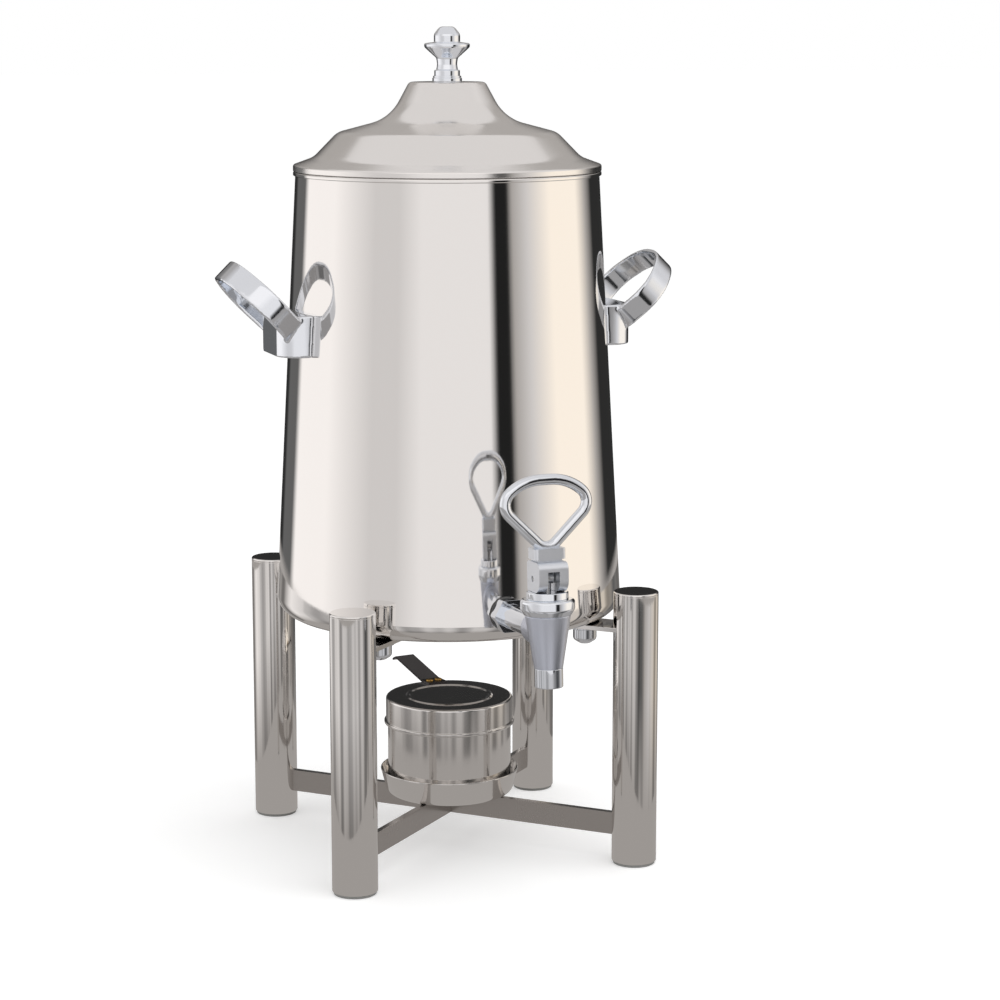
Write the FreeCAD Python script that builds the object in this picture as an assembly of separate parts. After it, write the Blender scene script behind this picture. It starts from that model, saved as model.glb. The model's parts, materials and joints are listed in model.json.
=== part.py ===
import FreeCAD, Part
import math
import os

# Coffee urn with a lever tap, standing on four tube legs over a fuel holder.
# Units are millimetres. The origin is on the floor under the urn's axis, +Z is up,
# the tap faces -Y and the two handles are on +X and -X.

# Urn body, spun and drawn from sheet
body_bottom_r = 124.6
body_top_r = 107.3
body_height = 315.2
body_wall = 1.2
body_corner_r = 12.0
rim_bead_r = 1.5

# Lid, one spun sheet with a locating ring pressed into it
lid_seat_gap = 0.2
lid_wall = 1.2
lid_overhang = 1.5
lid_edge_h = 4.2
lid_flange_w = 14.3
lid_flange_rise = 5.2
lid_shoulder_w = 17.0
lid_shoulder_rise = 17.3
lid_slope_rise = 9.8
lid_neck_w = 13.8
lid_neck_rise = 25.3
lid_crown_r = 26.7
lid_edge_fillet = 1.6
lid_flange_cove_r = 16.0
lid_shoulder_round_r = 14.0
lid_neck_cove_r = 32.0
lid_crown_round_r = 4.0
lid_ring_gap = 0.8
lid_ring_wall = 1.0
lid_ring_depth = 8.0

# Finial, turned, held by a screw from inside the lid
finial_foot_r = 10.4
finial_foot_h = 4.2
finial_step_r = 9.0
finial_step_h = 4.0
finial_stem_r = 7.6
finial_stem_h = 8.2
finial_cup_r = 16.0
finial_cup_h = 7.6
finial_cup_edge_h = 2.6
finial_cup_edge_r = 1.4
finial_dome_r = 9.2
finial_dome_round_r = 3.5
finial_dome_flat_r = 5.0
finial_dome_side_h = 6.4
finial_dome_rise = 5.2
finial_screw_r = 2.5
finial_screw_grip = 7.0
finial_washer_r = 9.0
finial_washer_h = 1.5
finial_nut_r = 5.0
finial_nut_h = 4.0

# Legs, brackets and cross bars
leg_r = 15.875
leg_wall = 1.5
leg_height = 197.6
leg_above_base = 25.2
leg_body_gap = 6.2
cap_h = 2.0
cap_edge_r = 1.0
plug_depth = 10.0
plug_gap = 0.05
foot_h = 2.0
foot_inset = 1.0
bracket_w = 26.0
bracket_h = 3.2
bracket_reach = 11.0
stud_inset = 17.0
stud_r = 3.0
stud_hole_gap = 0.3
bracket_corner_r = 3.0
dome_nut_r = 10.3
dome_nut_h = 12.6
dome_nut_flange_h = 1.8
dome_nut_shoulder_r = 8.4
dome_nut_shoulder_h = 9.5
dome_nut_crown_r = 3.6
dome_nut_round_r = 3.0
stud_grip = 5.0
bar_h = 16.0
bar_t = 5.0
bar_bottom_z = 19.0
bar_joint_gap = 0.05

# Burner: dish on the cross bars, fuel holder in the dish, snuffer cover on the holder
dish_r = 50.6
dish_h = 18.5
dish_wall = 1.0
dish_foot_inset = 5.0
dish_screw_r = 1.5
dish_screw_head_r = 3.6
dish_screw_head_h = 2.4
dish_screw_round_r = 1.4
dish_screw_grip = 7.2
dish_corner_r = 6.0
holder_inner_r = 44.0
holder_wall = 0.9
holder_h = 66.5
holder_stand_h = 3.2
holder_dish_gap = 0.3
holder_foot_inset = 5.0
holder_corner_r = 1.6
sheet_inner_r = 0.8
cover_gap = 0.4
cover_wall = 0.9
cover_skirt_h = 20.0
cover_top_gap = 0.3
cover_bead_r = 1.3
cover_ring_r = 30.0
cover_ring_w = 1.6
cover_ring_h = 0.7
cover_ring_round_r = 1.2
strip_w = 15.0
strip_t = 1.6
strip_length = 42.0
strip_root_length = 12.5
strip_rise_deg = 13.0
strip_bearing_deg = 100.0
strip_offset = 8.5
strip_bend_r = 10.0
strip_tip_length = 5.0
strip_tip_drop = 2.5
strip_tip_r = 3.0
rivet_r = 1.6
rivet_head_r = 2.8
rivet_head_h = 1.1
rivet_head_round_r = 0.9
rivet_tail_r = 2.4
rivet_tail_h = 0.6
rivet_edge = 6.0
rivet_pitch = 7.2

# Handles, cast loops with a hollow foot
handle_above_base = 190.1
handle_foot_h = 29.0
handle_foot_w = 64.0
handle_foot_depth = 17.0
handle_foot_corner_r = 16.0
handle_foot_wall = 3.0
handle_tilt_deg = 45.7
handle_centre_out = 26.1
handle_centre_up = 37.6
handle_half_length = 31.0
handle_half_width = 44.0
handle_tip_half_w = 19.0
handle_root_half_w = 30.0
handle_widest_out = 1.6
handle_tip_r = 34.0
handle_side_r = 30.0
handle_root_r = 16.0
handle_band_w = 16.5
handle_band_t = 3.2
handle_boss_r = 6.0
handle_screw_pitch = 40.0
handle_screw_r = 2.5
handle_screw_grip = 9.0
handle_screw_head_r = 4.6
handle_screw_head_h = 2.6
handle_washer_r = 6.5
handle_washer_h = 1.0
handle_washer_clear = 1.6

# Tap, square to the sloping wall
tap_above_base = 20.4
tap_reach = 80.0
tap_bore_r = 5.5
shank_r = 8.5
shank_hex_w = 22.0
shank_hex_l = 9.0
shank_tail = 16.0
shank_socket_l = 7.0
shank_socket_wall = 2.5
shank_end_gap = 0.8
gasket_r = 11.8
gasket_h = 2.0
shank_nut_w = 28.0
hex_round_share = 0.56
shank_nut_l = 6.0
cone_top_r = 15.2
cone_bottom_r = 9.5
cone_above = 12.0
cone_below = 23.5
valve_cavity_r = 8.0
valve_seat_drop = 9.0
outlet_r = 5.0
outlet_step = 0.6
tip_r = 9.5
tip_h = 13.0
tip_wall = 1.6
tip_spigot_h = 5.0
tip_spigot_wall = 1.2
tip_spigot_gap = 0.3
collar_r = 18.0
collar_h = 10.5
collar_round_r = 3.0
collar_taper_h = 3.7
collar_foot_step = 0.6
collar_wall = 2.0
bonnet_r = 13.8
bonnet_h = 4.8
bonnet_plug_h = 6.0
stem_r = 2.5
stem_gap = 0.05
stem_lug_w = 6.6
stem_lug_gap = 0.7
stem_lug_wall = 1.9
stem_button_r = 4.0
stem_button_h = 1.8
stem_button_lift = 2.4
seat_cup_r = 6.6
seat_cup_h = 6.0
seat_rest_gap = 0.05
spring_r = 6.2
spring_wire_r = 0.5
spring_end_gap = 0.6
lever_pin_z = 8.8
lever_pin_r = 2.0
lever_pin_inset = 0.5
lever_bottom_gap = 0.15
lever_w = 20.4
lever_cam_offset = 4.2
lever_back_d = 10.0
lever_block_h = 20.0
lever_slot_h = 14.0
lever_groove_d = 1.6
lever_cam_share = 0.98
lever_back_low_r = 1.5
lever_back_top_r = 3.0
lever_front_top_r = 5.0
lever_neck_corner_r = 2.5
lever_waist_w = 16.8
lever_waist_d = 12.0
lever_neck_w = 21.6
lever_neck_d = 15.0
lever_neck_h = 7.0
loop_half_w = 33.0
loop_h = 48.4
loop_top_r = 36.0
loop_top_half_w = 15.2
loop_side_r = 17.0
loop_side_drop = 18.5
loop_side_out = 4.0
loop_foot_r = 9.0
loop_foot_drop = 3.0
loop_bar_r = 3.7

# Small edge roundings that many pieces share, and how much of an edge an arc may use
fine_edge_r = 0.5
soft_edge_r = 0.8
sheet_edge_r = 0.2
arc_room_share = 0.49

# Sizes worked out from the ones above
body_bottom_z = leg_height - leg_above_base
body_top_z = body_bottom_z + body_height
handle_foot_z = body_bottom_z + handle_above_base
tap_z = body_bottom_z + tap_above_base
wall_slope = (body_bottom_r - body_top_r) / body_height
wall_angle = math.degrees(math.atan(wall_slope))
lid_rim_r = body_top_r + lid_overhang
lid_base_z = body_top_z + lid_seat_gap
lid_crown_z = lid_base_z + lid_edge_h + lid_flange_rise + lid_shoulder_rise + lid_slope_rise + lid_neck_rise
leg_circle_r = body_bottom_r + leg_body_gap + leg_r
stud_circle_r = body_bottom_r - stud_inset
bar_top_z = bar_bottom_z + bar_h
dish_base_z = bar_top_z
dish_foot_r = dish_r - dish_foot_inset
holder_r = holder_inner_r + holder_wall
holder_base_z = dish_base_z + dish_wall + holder_stand_h
holder_top_z = holder_base_z + holder_h
cover_inner_r = holder_r + cover_gap
cover_r = cover_inner_r + cover_wall
cover_under_z = holder_top_z + cover_top_gap
cover_top_z = cover_under_z + cover_wall
tap_wall_r = body_bottom_r - wall_slope * (tap_z - body_bottom_z)
wall_bow = gasket_r * gasket_r / (2 * tap_wall_r)

up = FreeCAD.Vector(0, 0, 1)
along_x = FreeCAD.Vector(1, 0, 0)
along_y = FreeCAD.Vector(0, 1, 0)
origin = FreeCAD.Vector(0, 0, 0)


def vec(x, y, z):
    return FreeCAD.Vector(x, y, z)


def save(name, shape):
    """Write one sub-part to its own STEP file."""
    if not shape.isValid() or not shape.Solids:
        raise ValueError("bad solid: " + name)
    shape.exportStep("parts/" + name + ".step")
    print(name, len(shape.Solids), round(shape.Volume, 1))


def body_radius(z):
    """Outside radius of the body's straight wall at height z."""
    return body_bottom_r - wall_slope * (z - body_bottom_z)


def rounded_wire(corners, closed=True):
    """Wire through corners (point, radius): a corner with a radius gets a tangent arc."""
    count = len(corners)
    starts, arcs = [], []
    for i, (point, radius) in enumerate(corners):
        inner = closed or 0 < i < count - 1
        if radius <= 0 or not inner:
            starts.append((point, point))
            arcs.append(None)
            continue
        before = (corners[i - 1][0] - point)
        after = (corners[(i + 1) % count][0] - point)
        room = min(before.Length, after.Length)
        before.normalize()
        after.normalize()
        half = before.getAngle(after) / 2.0
        reach = min(radius / math.tan(half), arc_room_share * room)
        radius = reach * math.tan(half)
        middle_dir = before + after
        middle_dir.normalize()
        middle = point + middle_dir * (radius / math.sin(half) - radius)
        a = point + before * reach
        b = point + after * reach
        starts.append((a, b))
        arcs.append(Part.Arc(a, middle, b).toShape())
    edges = []
    for i in range(count):
        if arcs[i]:
            edges.append(arcs[i])
        if i < count - 1 or closed:
            start = starts[i][1]
            end = starts[(i + 1) % count][0]
            if (end - start).Length > 1e-6:
                edges.append(Part.LineSegment(start, end).toShape())
    return Part.Wire(Part.__sortEdges__(edges))


def turned(profile):
    """Solid of revolution about Z from (r, z, corner radius) points."""
    wire = rounded_wire([(vec(r, 0, z), round_r) for r, z, round_r in profile])
    return Part.Face(wire).revolve(origin, up, 360)


def tube(outer_r, inner_r, height, z):
    outer = Part.makeCylinder(outer_r, height, vec(0, 0, z))
    return outer.cut(Part.makeCylinder(inner_r, height, vec(0, 0, z)))


def cylinder_y(radius, length, start_y, z=0):
    """Cylinder along -Y that starts at y = -start_y."""
    return Part.makeCylinder(radius, length, vec(0, -start_y, z), vec(0, -1, 0))


def hexagon_y(across_flats, length, start_y):
    """Hexagonal prism along -Y that starts at y = -start_y."""
    corner_r = across_flats / math.sqrt(3)
    points = []
    for i in range(6):
        angle = math.radians(60 * i)
        points.append(vec(corner_r * math.cos(angle), -start_y, corner_r * math.sin(angle)))
    points.append(points[0])
    prism = Part.Face(Part.makePolygon(points)).extrude(vec(0, -length, 0))
    return prism.common(cylinder_y(across_flats * hex_round_share, length, start_y))


def group(solids):
    return Part.makeCompound(solids)


def moved(shape, x, y, z):
    copy = shape.copy()
    copy.translate(vec(x, y, z))
    return copy


def turned_about_axis(shape, degrees):
    copy = shape.copy()
    copy.rotate(origin, up, degrees)
    return copy


def place_tap(shape):
    """Move a tap piece from the shank's frame to the wall, square to its slope."""
    copy = shape.copy()
    copy.rotate(origin, along_x, -wall_angle)
    copy.translate(vec(0, -tap_wall_r, tap_z))
    return copy


def wall_cone(extra, low_z, high_z):
    """Solid cone that follows the body's wall, moved outwards by extra."""
    return Part.makeCone(body_radius(low_z) + extra, body_radius(high_z) + extra,
                         high_z - low_z, vec(0, 0, low_z))


def make_body():
    top_r = body_top_r
    shell = turned([
        (0, body_bottom_z, 0),
        (body_bottom_r, body_bottom_z, body_corner_r),
        (top_r, body_top_z - rim_bead_r, 0),
        (top_r, body_top_z, 0),
        (top_r - body_wall, body_top_z, 0),
        (top_r - body_wall, body_top_z - rim_bead_r, 0),
        (body_bottom_r - body_wall, body_bottom_z + body_wall, body_corner_r - body_wall),
        (0, body_bottom_z + body_wall, 0),
    ])
    bead = Part.makeTorus(body_top_r, rim_bead_r, vec(0, 0, body_top_z - rim_bead_r))
    inside_z = body_top_z - 3 * rim_bead_r
    inside = Part.makeCylinder(top_r - body_wall, 4 * rim_bead_r, vec(0, 0, inside_z))
    body = shell.fuse(bead.cut(inside)).removeSplitter()
    for side in (-1, 1):
        for hole in handle_screw_spots(side):
            body = body.cut(hole_along_x(hole, handle_screw_r + stud_hole_gap, side))
    return body.cut(place_tap(cylinder_y(shank_r + stud_hole_gap, 40, -20)))


def make_lid():
    edge_z = lid_base_z + lid_edge_h
    flange_z = edge_z + lid_flange_rise
    shoulder_z = flange_z + lid_shoulder_rise
    neck_z = shoulder_z + lid_slope_rise
    crown_z = neck_z + lid_neck_rise
    flange_r = lid_rim_r - lid_flange_w
    shoulder_r = flange_r - lid_shoulder_w
    neck_r = lid_crown_r + lid_neck_w

    def outline(lower, inset):
        return [
            (lid_rim_r - inset, edge_z - lower, max(lid_edge_fillet - lower, sheet_edge_r)),
            (flange_r, flange_z - lower, lid_flange_cove_r),
            (shoulder_r, shoulder_z - lower, lid_shoulder_round_r),
            (neck_r, neck_z - lower, lid_neck_cove_r),
            (lid_crown_r - inset, crown_z - lower, max(lid_crown_round_r - lower, sheet_edge_r)),
            (0, crown_z - lower, 0),
        ]
    outer = turned([(0, lid_base_z, 0), (lid_rim_r, lid_base_z, 0)] + outline(0, 0))
    inner_start = [(0, lid_base_z, 0), (lid_rim_r - lid_wall, lid_base_z, 0)]
    inner = turned(inner_start + outline(lid_wall, lid_wall))
    ring_r = body_top_r - body_wall - lid_ring_gap
    ring = tube(ring_r, ring_r - lid_ring_wall, lid_ring_depth + lid_edge_h + lid_flange_rise,
                lid_base_z - lid_ring_depth)
    lid = outer.cut(inner).fuse(ring.common(outer.fuse(tube(ring_r, ring_r - lid_ring_wall,
                                lid_ring_depth, lid_base_z - lid_ring_depth)))).removeSplitter()
    return lid.cut(Part.makeCylinder(finial_screw_r + stud_hole_gap, 4 * lid_wall,
                                     vec(0, 0, crown_z - 2 * lid_wall)))


def make_finial():
    z0 = lid_crown_z
    z1 = z0 + finial_foot_h
    z2 = z1 + finial_step_h
    z3 = z2 + finial_stem_h
    z4 = z3 + finial_cup_h
    z5 = z4 + finial_cup_edge_h
    z6 = z5 + finial_dome_side_h
    z7 = z6 + finial_dome_rise
    low = z0 - lid_wall - finial_screw_grip
    return turned([
        (0, low, 0), (finial_screw_r, low, fine_edge_r), (finial_screw_r, z0, 0),
        (finial_foot_r, z0, fine_edge_r), (finial_foot_r, z1, fine_edge_r), (finial_step_r, z1, 0),
        (finial_step_r, z2, soft_edge_r), (finial_stem_r, z2, fine_edge_r),
        (finial_stem_r, z3, soft_edge_r), (finial_cup_r, z4, fine_edge_r),
        (finial_cup_r, z5, finial_cup_edge_r), (finial_dome_r, z5, fine_edge_r),
        (finial_dome_r, z6, finial_dome_round_r), (finial_dome_flat_r, z7, finial_dome_round_r),
        (0, z7, 0),
    ])


def make_finial_hardware():
    under_z = lid_crown_z - lid_wall
    bore_r = finial_screw_r + plug_gap
    washer = tube(finial_washer_r, bore_r, finial_washer_h, under_z - finial_washer_h)
    nut_low = under_z - finial_washer_h - finial_nut_h
    nut = hexagon_y(2 * finial_nut_r, finial_nut_h, 0)
    nut.rotate(origin, along_x, -90)
    nut = moved(nut, 0, 0, nut_low)
    if nut.BoundBox.ZMax < nut_low + finial_nut_h / 2:
        nut = moved(nut, 0, 0, finial_nut_h)
    nut = nut.cut(Part.makeCylinder(bore_r, finial_nut_h, vec(0, 0, nut_low)))
    return washer, nut


def make_leg_pieces():
    """Tube, top cap and foot of a leg whose axis is the Z axis."""
    bore_r = leg_r - leg_wall
    plug_r = bore_r - plug_gap
    body = tube(leg_r, bore_r, leg_height - cap_h - foot_h, foot_h)
    cap_z = leg_height - cap_h
    cap = turned([(0, cap_z - plug_depth, 0), (plug_r, cap_z - plug_depth, soft_edge_r), (plug_r, cap_z, 0),
                  (leg_r, cap_z, 0), (leg_r, leg_height, cap_edge_r), (0, leg_height, 0)])
    foot = turned([(0, 0, 0), (leg_r - foot_inset, 0, fine_edge_r), (leg_r - foot_inset, foot_h, 0),
                   (plug_r, foot_h, 0), (plug_r, foot_h + plug_depth, soft_edge_r),
                   (0, foot_h + plug_depth, 0)])
    return body, cap, foot


def make_bracket():
    """Plate along +X from the leg's tube to under the body, held there by one dome nut."""
    start_x = stud_circle_r - bracket_reach
    z = body_bottom_z - bracket_h
    plate = rounded_wire([
        (vec(start_x, -bracket_w / 2, z), bracket_corner_r), (vec(leg_circle_r, -bracket_w / 2, z), 0),
        (vec(leg_circle_r, bracket_w / 2, z), 0), (vec(start_x, bracket_w / 2, z), bracket_corner_r)])
    plate = Part.Face(plate).extrude(vec(0, 0, bracket_h))
    plate = plate.cut(Part.makeCylinder(leg_r, bracket_h, vec(leg_circle_r, 0, z)))
    plate = plate.cut(Part.makeCylinder(stud_r + stud_hole_gap, bracket_h, vec(stud_circle_r, 0, z)))
    inner = [s for s in plate.Solids if s.BoundBox.XMin < stud_circle_r]
    return inner[0]


def make_stud_and_nut():
    z = body_bottom_z - bracket_h
    low = z - stud_grip
    stud = Part.makeCylinder(stud_r, body_bottom_z - low, vec(stud_circle_r, 0, low))
    bore_r = stud_r + plug_gap
    nut = turned([(bore_r, z, 0), (dome_nut_r, z, 0), (dome_nut_r, z - dome_nut_flange_h, fine_edge_r),
                  (dome_nut_shoulder_r, z - dome_nut_flange_h, 0),
                  (dome_nut_shoulder_r, z - dome_nut_shoulder_h, dome_nut_round_r),
                  (dome_nut_crown_r, z - dome_nut_h, dome_nut_round_r),
                  (0, z - dome_nut_h, 0), (0, low, 0), (bore_r, low, 0)])
    return stud, moved(nut, stud_circle_r, 0, 0)


def make_cross_bars():
    """Two bars on edge, halved into each other at the middle and coped to the leg tubes."""
    bars = []
    half = bar_h / 2
    for index, angle in enumerate((45, 135)):
        bar = Part.makeBox(2 * leg_circle_r, bar_t, bar_h, vec(-leg_circle_r, -bar_t / 2, bar_bottom_z))
        for side in (-1, 1):
            bar = bar.cut(Part.makeCylinder(leg_r, bar_h, vec(side * leg_circle_r, 0, bar_bottom_z)))
        middle = [s for s in bar.Solids if abs(s.CenterOfMass.x) < leg_r][0]
        slot_w = bar_t + 2 * bar_joint_gap
        slot_z = bar_bottom_z - 1 if index else bar_bottom_z + half - bar_joint_gap
        slot_h = half + 1 + bar_joint_gap
        slot = Part.makeBox(slot_w, 4 * bar_t, slot_h, vec(-slot_w / 2, -2 * bar_t, slot_z))
        screw = Part.makeCylinder(dish_screw_r, bar_h, vec(0, 0, bar_top_z - bar_h / 2))
        bars.append(turned_about_axis(middle.cut(slot).cut(screw), angle))
    return bars


def make_dish():
    z0 = dish_base_z
    z1 = z0 + dish_h
    dish = turned([
        (0, z0, 0), (dish_foot_r, z0, dish_corner_r), (dish_r, z1, 0), (dish_r - dish_wall, z1, 0),
        (dish_foot_r - dish_wall, z0 + dish_wall, dish_corner_r), (0, z0 + dish_wall, 0)])
    return dish.cut(Part.makeCylinder(dish_screw_r + plug_gap, 4 * dish_wall, vec(0, 0, z0 - dish_wall)))


def make_dish_screw():
    seat_z = dish_base_z + dish_wall
    head = turned([(0, seat_z, 0), (dish_screw_head_r, seat_z, 0),
                   (dish_screw_head_r, seat_z + dish_screw_head_h, dish_screw_round_r),
                   (0, seat_z + dish_screw_head_h, 0)])
    shaft = Part.makeCylinder(dish_screw_r - plug_gap, dish_screw_grip + dish_wall,
                              vec(0, 0, dish_base_z - dish_screw_grip))
    return head.fuse(shaft).removeSplitter()


def make_holder():
    """Open can with a ring foot that centres it in the dish."""
    z0 = dish_base_z + dish_wall + holder_dish_gap
    foot_r = dish_foot_r - dish_wall - holder_foot_inset
    can = turned([
        (0, holder_base_z, 0), (foot_r - holder_wall, holder_base_z, 0), (foot_r - holder_wall, z0, 0),
        (foot_r, z0, 0), (foot_r, holder_base_z, 0), (holder_r, holder_base_z, holder_corner_r),
        (holder_r, holder_top_z, 0), (holder_inner_r, holder_top_z, 0),
        (holder_inner_r, holder_base_z + holder_wall, sheet_inner_r), (0, holder_base_z + holder_wall, 0)])
    return can


def make_cover():
    skirt_z = cover_top_z - cover_skirt_h
    cover = turned([
        (0, cover_under_z, 0), (cover_inner_r, cover_under_z, sheet_inner_r), (cover_inner_r, skirt_z, 0),
        (cover_r, skirt_z, 0), (cover_r, cover_top_z, holder_corner_r), (0, cover_top_z, 0)])
    bead = Part.makeTorus(cover_r, cover_bead_r, vec(0, 0, skirt_z + cover_bead_r))
    bead = bead.cut(Part.makeCylinder(cover_inner_r + cover_wall / 2, 6 * cover_bead_r,
                                      vec(0, 0, skirt_z - 2 * cover_bead_r)))
    ring = turned([(cover_ring_r - cover_ring_w, cover_top_z - cover_wall / 2, 0),
                   (cover_ring_r + cover_ring_w, cover_top_z - cover_wall / 2, 0),
                   (cover_ring_r + cover_ring_w, cover_top_z, 0),
                   (cover_ring_r, cover_top_z + cover_ring_h, cover_ring_round_r),
                   (cover_ring_r - cover_ring_w, cover_top_z, 0)])
    cover = cover.fuse([bead, ring]).removeSplitter()
    for spot in rivet_spots():
        cover = cover.cut(Part.makeCylinder(rivet_r, 4 * cover_wall, spot - up * cover_wall * 2))
    return cover


def strip_frame(shape):
    """Turn a piece of the cover's lifting strip from along +X to its real bearing."""
    return turned_about_axis(moved(shape, 0, -strip_offset, 0), strip_bearing_deg)


def rivet_spots():
    """Places of the two rivets on the cover's top, side by side across the strip."""
    spots = []
    for side in (-1, 1):
        across = side * rivet_pitch / 2
        shape = strip_frame(Part.Vertex(strip_edge_x() - rivet_edge, across, cover_top_z))
        spots.append(shape.Point)
    return spots


def strip_edge_x():
    """Where the cover's edge crosses the strip's middle line, along the strip."""
    return math.sqrt(cover_r * cover_r - strip_offset * strip_offset)


def make_strip():
    """Lifting strip: flat on the cover, then bent up and outwards, with a turned tip."""
    root_x = strip_edge_x() - strip_root_length
    bend_x = strip_edge_x()
    rise = math.radians(strip_rise_deg)
    tip_x = bend_x + strip_length * math.cos(rise)
    tip_z = cover_top_z + strip_length * math.sin(rise)
    end_x = tip_x + strip_tip_length
    end_z = tip_z - strip_tip_drop
    lean = strip_t * math.sin(rise)
    path = [(vec(root_x, 0, cover_top_z), 0), (vec(bend_x, 0, cover_top_z), strip_bend_r),
            (vec(tip_x, 0, tip_z), strip_tip_r), (vec(end_x, 0, end_z), 0),
            (vec(end_x + lean, 0, end_z + strip_t), 0),
            (vec(tip_x, 0, tip_z + strip_t), strip_tip_r),
            (vec(bend_x - lean, 0, cover_top_z + strip_t), strip_bend_r),
            (vec(root_x, 0, cover_top_z + strip_t), 0)]
    strip = Part.Face(rounded_wire(path)).extrude(vec(0, strip_w, 0))
    strip = strip_frame(moved(strip, 0, -strip_w / 2, 0))
    for spot in rivet_spots():
        strip = strip.cut(Part.makeCylinder(rivet_r, 4 * strip_t, spot - up * strip_t))
    return strip


def make_rivets():
    rivets = []
    for spot in rivet_spots():
        shaft_low = spot - up * (cover_wall + rivet_tail_h)
        shaft = Part.makeCylinder(rivet_r - plug_gap, cover_wall + strip_t + rivet_tail_h, shaft_low)
        head = Part.makeCylinder(rivet_head_r, rivet_head_h, spot + up * strip_t)
        head = head.makeFillet(rivet_head_round_r, [head.Edges[0]])
        tail = Part.makeCylinder(rivet_tail_r, rivet_tail_h, shaft_low)
        rivets.append(shaft.fuse([head, tail]).removeSplitter())
    return group(rivets)


def handle_screw_spots(side):
    z = handle_foot_z + handle_foot_h / 2
    return [vec(side * body_radius(z), y, z) for y in (-handle_screw_pitch / 2, handle_screw_pitch / 2)]


def wall_x(spot):
    """Distance of the wall's outside from the YZ plane at a screw's place."""
    r = body_radius(spot.z)
    return math.sqrt(r * r - spot.y * spot.y)


def hole_along_x(spot, radius, side, length=None):
    reach = length or 6 * body_wall
    start = vec(side * (wall_x(spot) - reach / 2), spot.y, spot.z)
    return Part.makeCylinder(radius, reach, start, vec(side, 0, 0))


def make_handle():
    """Handle on +X: a tilted loop of flat band that runs into a hollow foot on the wall."""
    tilt = math.radians(handle_tilt_deg)
    out = vec(math.cos(tilt), 0, math.sin(tilt))
    normal = vec(-math.sin(tilt), 0, math.cos(tilt))
    base_r = body_radius(handle_foot_z)
    centre = vec(base_r + handle_centre_out, 0, handle_foot_z + handle_centre_up)

    def loop_wire(inset, lift):
        half_l = handle_half_length - inset
        half_w = handle_half_width - inset
        root_w = handle_root_half_w - inset
        base = centre + normal * lift
        widest = base + out * handle_widest_out
        corners = [(base + out * half_l - along_y * handle_tip_half_w, handle_tip_r - inset),
                   (base + out * half_l + along_y * handle_tip_half_w, handle_tip_r - inset),
                   (widest + along_y * half_w, handle_side_r - inset),
                   (base - out * half_l + along_y * root_w, handle_root_r - inset),
                   (base - out * half_l - along_y * root_w, handle_root_r - inset),
                   (widest - along_y * half_w, handle_side_r - inset)]
        return rounded_wire(corners)

    band = handle_band_w
    loop = Part.Face(loop_wire(0, -band / 2)).extrude(normal * band)
    loop_hole = Part.Face(loop_wire(handle_band_t, -band)).extrude(normal * (2 * band))
    foot_x = base_r + handle_foot_depth
    half_w = handle_foot_w / 2
    corner = handle_foot_corner_r
    low = handle_foot_z

    def foot_block(inset, bottom, height):
        wire = rounded_wire([
            (vec(0, -half_w + inset, bottom), 0), (vec(foot_x - inset, -half_w + inset, bottom), corner),
            (vec(foot_x - inset, half_w - inset, bottom), corner), (vec(0, half_w - inset, bottom), 0)])
        return Part.Face(wire).extrude(vec(0, 0, height))

    foot = foot_block(0, low, handle_foot_h)
    pocket = foot_block(handle_foot_wall, low - 1, handle_foot_h - handle_foot_wall + 1)
    keep_out = wall_cone(0, low - 10, low + 4 * handle_half_length)
    above_foot = Part.makeBox(8 * band, 4 * half_w, 8 * band, vec(0, -2 * half_w, low + handle_foot_h))
    handle = loop.cut(loop_hole).fuse(foot)
    handle = handle.cut(loop_hole.common(above_foot))
    handle = handle.cut(pocket)
    bosses = []
    for spot in handle_screw_spots(1):
        boss_end = foot_x - handle_foot_wall / 2
        bosses.append(Part.makeCylinder(handle_boss_r, boss_end, vec(0, spot.y, spot.z), along_x))
    handle = handle.fuse([b.common(foot_block(0, low, handle_foot_h)) for b in bosses])
    handle = handle.cut(keep_out)
    for spot in handle_screw_spots(1):
        handle = handle.cut(hole_along_x(spot, handle_screw_r + plug_gap, 1, 2 * handle_screw_grip))
    handle = handle.removeSplitter()
    return sorted(handle.Solids, key=lambda s: s.Volume)[-1]


def make_handle_hardware():
    screws, washers = [], []
    for side in (-1, 1):
        for spot in handle_screw_spots(side):
            inner_x = side * (wall_x(spot) - body_wall - handle_washer_h - handle_washer_clear)
            direction = vec(side, 0, 0)
            seat = vec(inner_x, spot.y, spot.z)
            washer = Part.makeCylinder(handle_washer_r, handle_washer_h, seat, direction)
            hole = Part.makeCylinder(handle_screw_r + plug_gap, handle_washer_h, seat, direction)
            washers.append(washer.cut(hole))
            head = Part.makeCylinder(handle_screw_head_r, handle_screw_head_h,
                                     vec(inner_x - side * handle_screw_head_h, spot.y, spot.z), direction)
            shaft_length = handle_screw_grip + 2 * body_wall + handle_washer_h
            shaft = Part.makeCylinder(handle_screw_r, shaft_length, seat, direction)
            screws.append(head.fuse(shaft).removeSplitter())
    return group(screws), group(washers)


# Tap pieces are made with the shank's axis along -Y through the origin, which is the
# point where that axis meets the wall's outside, and are moved into place at the end.

def make_shank():
    start = -(body_wall + gasket_h + shank_tail)
    length = tap_reach - valve_cavity_r - shank_end_gap - start
    body = cylinder_y(shank_r, length, start)
    hexagon = hexagon_y(shank_hex_w, shank_hex_l, gasket_h)
    return body.fuse(hexagon).removeSplitter().cut(cylinder_y(tap_bore_r, length + 2, start - 1))


def make_gasket(start_y):
    return cylinder_y(gasket_r, gasket_h, start_y).cut(cylinder_y(shank_r + plug_gap, gasket_h, start_y))


def inner_gasket_y():
    """Start of the inner gasket, clear of the wall where it bows away from the shank."""
    return -(body_wall + gasket_h + wall_bow)


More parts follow.
